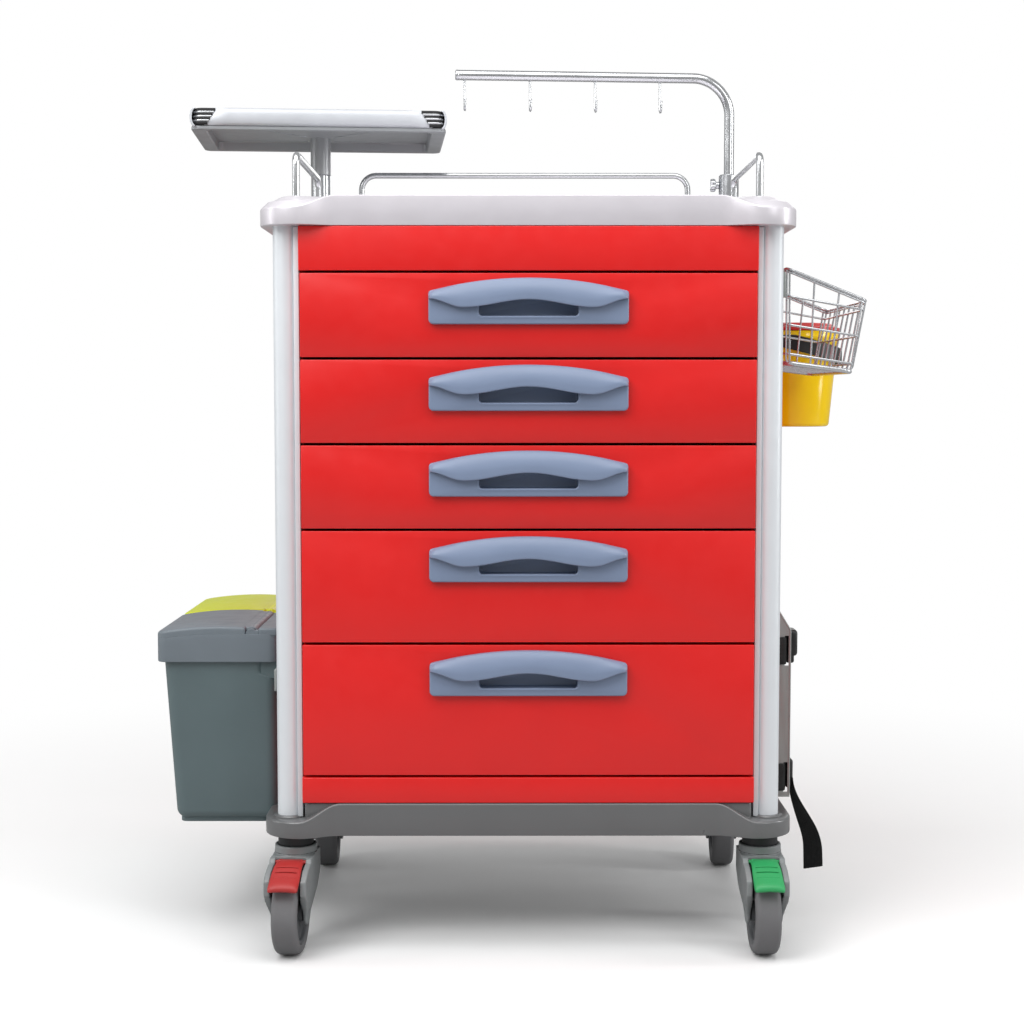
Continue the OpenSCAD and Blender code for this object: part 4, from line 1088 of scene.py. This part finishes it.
def bin_rim(at):
    """The lid's frame: a skirt round the tub's mouth, the strip behind the flap and two hinge knuckles."""
    outline = plan((LID_X[1] - LID_X[0]) / 2, HALF_BIN, 12, sum(LID_X) / 2, 0, EDGE)
    x0, x1 = LID_X[0] + 12, FLAP_X + 8.2
    mouth = plan((x1 - x0) / 2, HALF_BIN - KNUCKLE, 5, (x0 + x1) / 2, 0, EDGE)

    def below_top(points, inset, drop):
        return [(x, y, skirt_top(x) - drop) for x, y in shrink(points, inset)]

    rings = levels(outline, (3.2, 356), (3.2, SKIRT_Z + 0.6), (2.4, SKIRT_Z), (0.7, SKIRT_Z),
                   (0.1, SKIRT_Z + 0.6), (0, SKIRT_Z + 2))
    rings.append(below_top(outline, 0, 6))
    rings += [below_top(outline, inset, drop) for inset, drop in rounding(0.2, 4)]
    rings += [below_top(outline, 4, 0), below_top(mouth, -1.5, 0.4), below_top(mouth, -0.3, 1.6)]
    rings += levels(mouth, (0, 360), (0, 356))
    shape = Shape().add(loft(rings, wrap=True), at)
    strip = plan((LID_X[1] - x1) / 2, HALF_BIN, 4, (LID_X[1] + x1) / 2, 0, steps=6)
    shape.add(round_slab(strip, FLAP_Z - 3, BIN_TOP + 1.2, 2.8, 4), at)
    knuckle = [(0.1, 0), (6, 0), (6.4, 0.5), (6.4, 5.7), (6, 6.2), (0.1, 6.2)]
    for side in (-1, 1):
        y = sorted((side * (HALF_BIN - 6.6), side * (HALF_BIN - 0.4)))
        shape.add(lathe(knuckle, 36), at @ place(FLAP_X, y[1], FLAP_Z) @ turn("X", 90))
        shape.add(round_block((FLAP_X + 4, FLAP_X + 10), y, (FLAP_Z - 2, FLAP_Z + 4.6), 0.8, 2), at)
    return shape


def bin_flap(at):
    """The domed flap, symmetric about its middle, with notches beside the hinge knuckles."""
    hinge_x, notch_x, outer_x = FLAP_X - 0.2, FLAP_X - 7, LID_X[0]
    notch_y, side_y = HALF_BIN - KNUCKLE, HALF_BIN - 0.1
    points = [Vector((x, y, 0)) for x, y in ((hinge_x, 0), (hinge_x, notch_y), (notch_x, notch_y),
                                             (notch_x, side_y), (outer_x, side_y), (outer_x, 0))]
    bends = [[(p.x, p.y) for p in bent(points[i:i + 3], r)[1:-1]] for i, r in enumerate((1.2, 1.2, 2, 12))]
    (start, _), (end, _) = bends[2][-1], bends[3][0]
    side = [(start + (end - start) * k / 24, side_y) for k in range(1, 24)]
    path = bends[0] + bends[1] + bends[2] + side + bends[3]
    outline = path + [(x, -y) for x, y in reversed(path)]

    def above_skirt(inset, lift):
        return [(x, y, skirt_top(x) + lift) for x, y in shrink(outline, inset)]

    def on_dome(inset, drop):
        return [(x, y, max(BIN_TOP + 3.1 - (x + 370) ** 2 / 860 - drop, skirt_top(x) + 0.6))
                for x, y in shrink(outline, inset)]

    rings = [above_skirt(inset, lift) for inset, lift in ((3.4, 0.3), (0.3, 0.1), (0, 0.2), (0, 0.5))]
    rings += [on_dome(0.8 * inset, drop) for inset, drop in rounding(4, 8)]
    shape = Shape().add(zipped(rings), at)
    shape.add(tube([(FLAP_X, y, FLAP_Z) for y in (-79.5, -79, 79, 79.5)], 2.5, 24), at)
    barrel = [(0.1, -76.6), (7, -76.6), (7.8, -75.8), (7.8, 75.8), (7, 76.6), (0.1, 76.6)]
    shape.add(lathe(barrel, 40), at @ place(FLAP_X, 0, FLAP_Z) @ turn("X", 90))
    return shape


def bins():
    bodies = Shape()
    for side, name, look in ((-1, "front", "bin_lid_grey"), (1, "rear", "bin_lid_green")):
        at = place(0, side * (HALF_BIN + 2))
        bodies.add(bin_body(at))
        add_piece(f"bin_{name}_lid_frame", bin_rim(at), look, f"bin_{name}_rim", degrees=40)
        add_piece(f"bin_{name}_lid_flap", bin_flap(at), look, f"bin_{name}_flap", degrees=40)
    add_piece("bin_buckets", bodies, "bin_grey", "bin_bodies", degrees=40)


# ---- the whole part, the room and the camera ----

# Each lamp: where it stands and what it points at in metres, its size in metres and its power in watts.
LAMPS = {
    "overhead": ((-0.2, -0.9, 2.5), (0, 0, 0.8), (2.6, 1.6), 37),
    "front_left": ((-1.5, -1.8, 2.1), (0, 0, 1.1), (1.4, 1.0), 27),
    "front_right": ((1.7, -1.8, 1.8), (0, 0, 1.0), (0.4, 1.4), 10),
    "side_right": ((3.0, -0.3, 1.3), (0.3, 0, 0.7), (0.4, 2.2), 26),
    "side_left": ((-3.0, -0.3, 1.3), (-0.3, 0, 0.7), (0.4, 2.2), 14),
    "back": ((0.4, 3.0, 1.6), (0, 0, 0.7), (2.0, 1.6), 14),
}
CAMERA_PLACE, CAMERA_PITCH, CAMERA_YAW = (-0.0252, -2.229, 0.6563), -0.0677, -0.003
LENS, SENSOR = 60.76, 36
FADE, SKY_LIGHT, FLOOR_HALF = (0.45, 1.7), 0.44, 9000


def lamp(name, where, aim, size, power):
    light = bpy.data.lights.new(name, "AREA")
    light.shape = "RECTANGLE"
    light.size, light.size_y = size
    light.energy = power
    obj = bpy.data.objects.new(name, light)
    obj.location = where
    obj.rotation_euler = (Vector(aim) - Vector(where)).to_track_quat("-Z", "Y").to_euler()
    bpy.context.scene.collection.objects.link(obj)


def fade_out(material):
    """To the camera the floor melts into the white background; to other rays it is a dull grey."""
    t = Tree(material)
    far = t.node("ShaderNodeVectorMath", operation="LENGTH")
    t.feed(far.inputs, t.node("ShaderNodeNewGeometry").outputs["Position"])
    share = t.ramp(far.outputs["Value"], *FADE, interpolation_type="SMOOTHSTEP")
    white = t.node("ShaderNodeEmission").outputs[0]
    faded = t.blend(share, t.nodes["Principled BSDF"].outputs[0], white)
    dull = t.node("ShaderNodeBsdfDiffuse", Color=(0.5, 0.5, 0.5, 1)).outputs[0]
    camera_ray = t.node("ShaderNodeLightPath").outputs["Is Camera Ray"]
    t.link(t.blend(camera_ray, dull, faded), t.nodes["Material Output"].inputs["Surface"])


def room():
    corners = [(x * FLOOR_HALF, y * FLOOR_HALF, 0) for x, y in ((-1, -1), (1, -1), (1, 1), (-1, 1))]
    floor = built("floor", Shape().add((corners, [(0, 1, 2, 3)])))
    finish = surface("floor", rgb(250, 250, 250), 0.6, mottle=0.004, grain=(60, 0.02), wear=0)
    fade_out(finish)
    floor.data.materials.append(finish)
    world = bpy.data.worlds.new("studio")
    t = Tree(world)
    strength = t.ramp(t.node("ShaderNodeLightPath").outputs["Is Camera Ray"], 0, 1, SKY_LIGHT, 1)
    t.feed(t.nodes["Background"].inputs, (1, 1, 1, 1), strength)
    scene = bpy.context.scene
    scene.world = world
    scene.view_settings.view_transform = "Standard"
    for name, (where, aim, size, power) in LAMPS.items():
        lamp(name, where, aim, size, power)

    camera = bpy.data.objects.new("camera", bpy.data.cameras.new("camera"))
    camera.location = CAMERA_PLACE
    camera.rotation_euler = (pi / 2 + CAMERA_PITCH, 0, CAMERA_YAW)
    camera.data.lens, camera.data.sensor_width = LENS, SENSOR
    scene.collection.objects.link(camera)
    scene.camera = camera


cabinet()
castors()
pedals()
shelf()
pole()
basket()
sharps()
cylinder_holder()
brackets()
bins()
room()
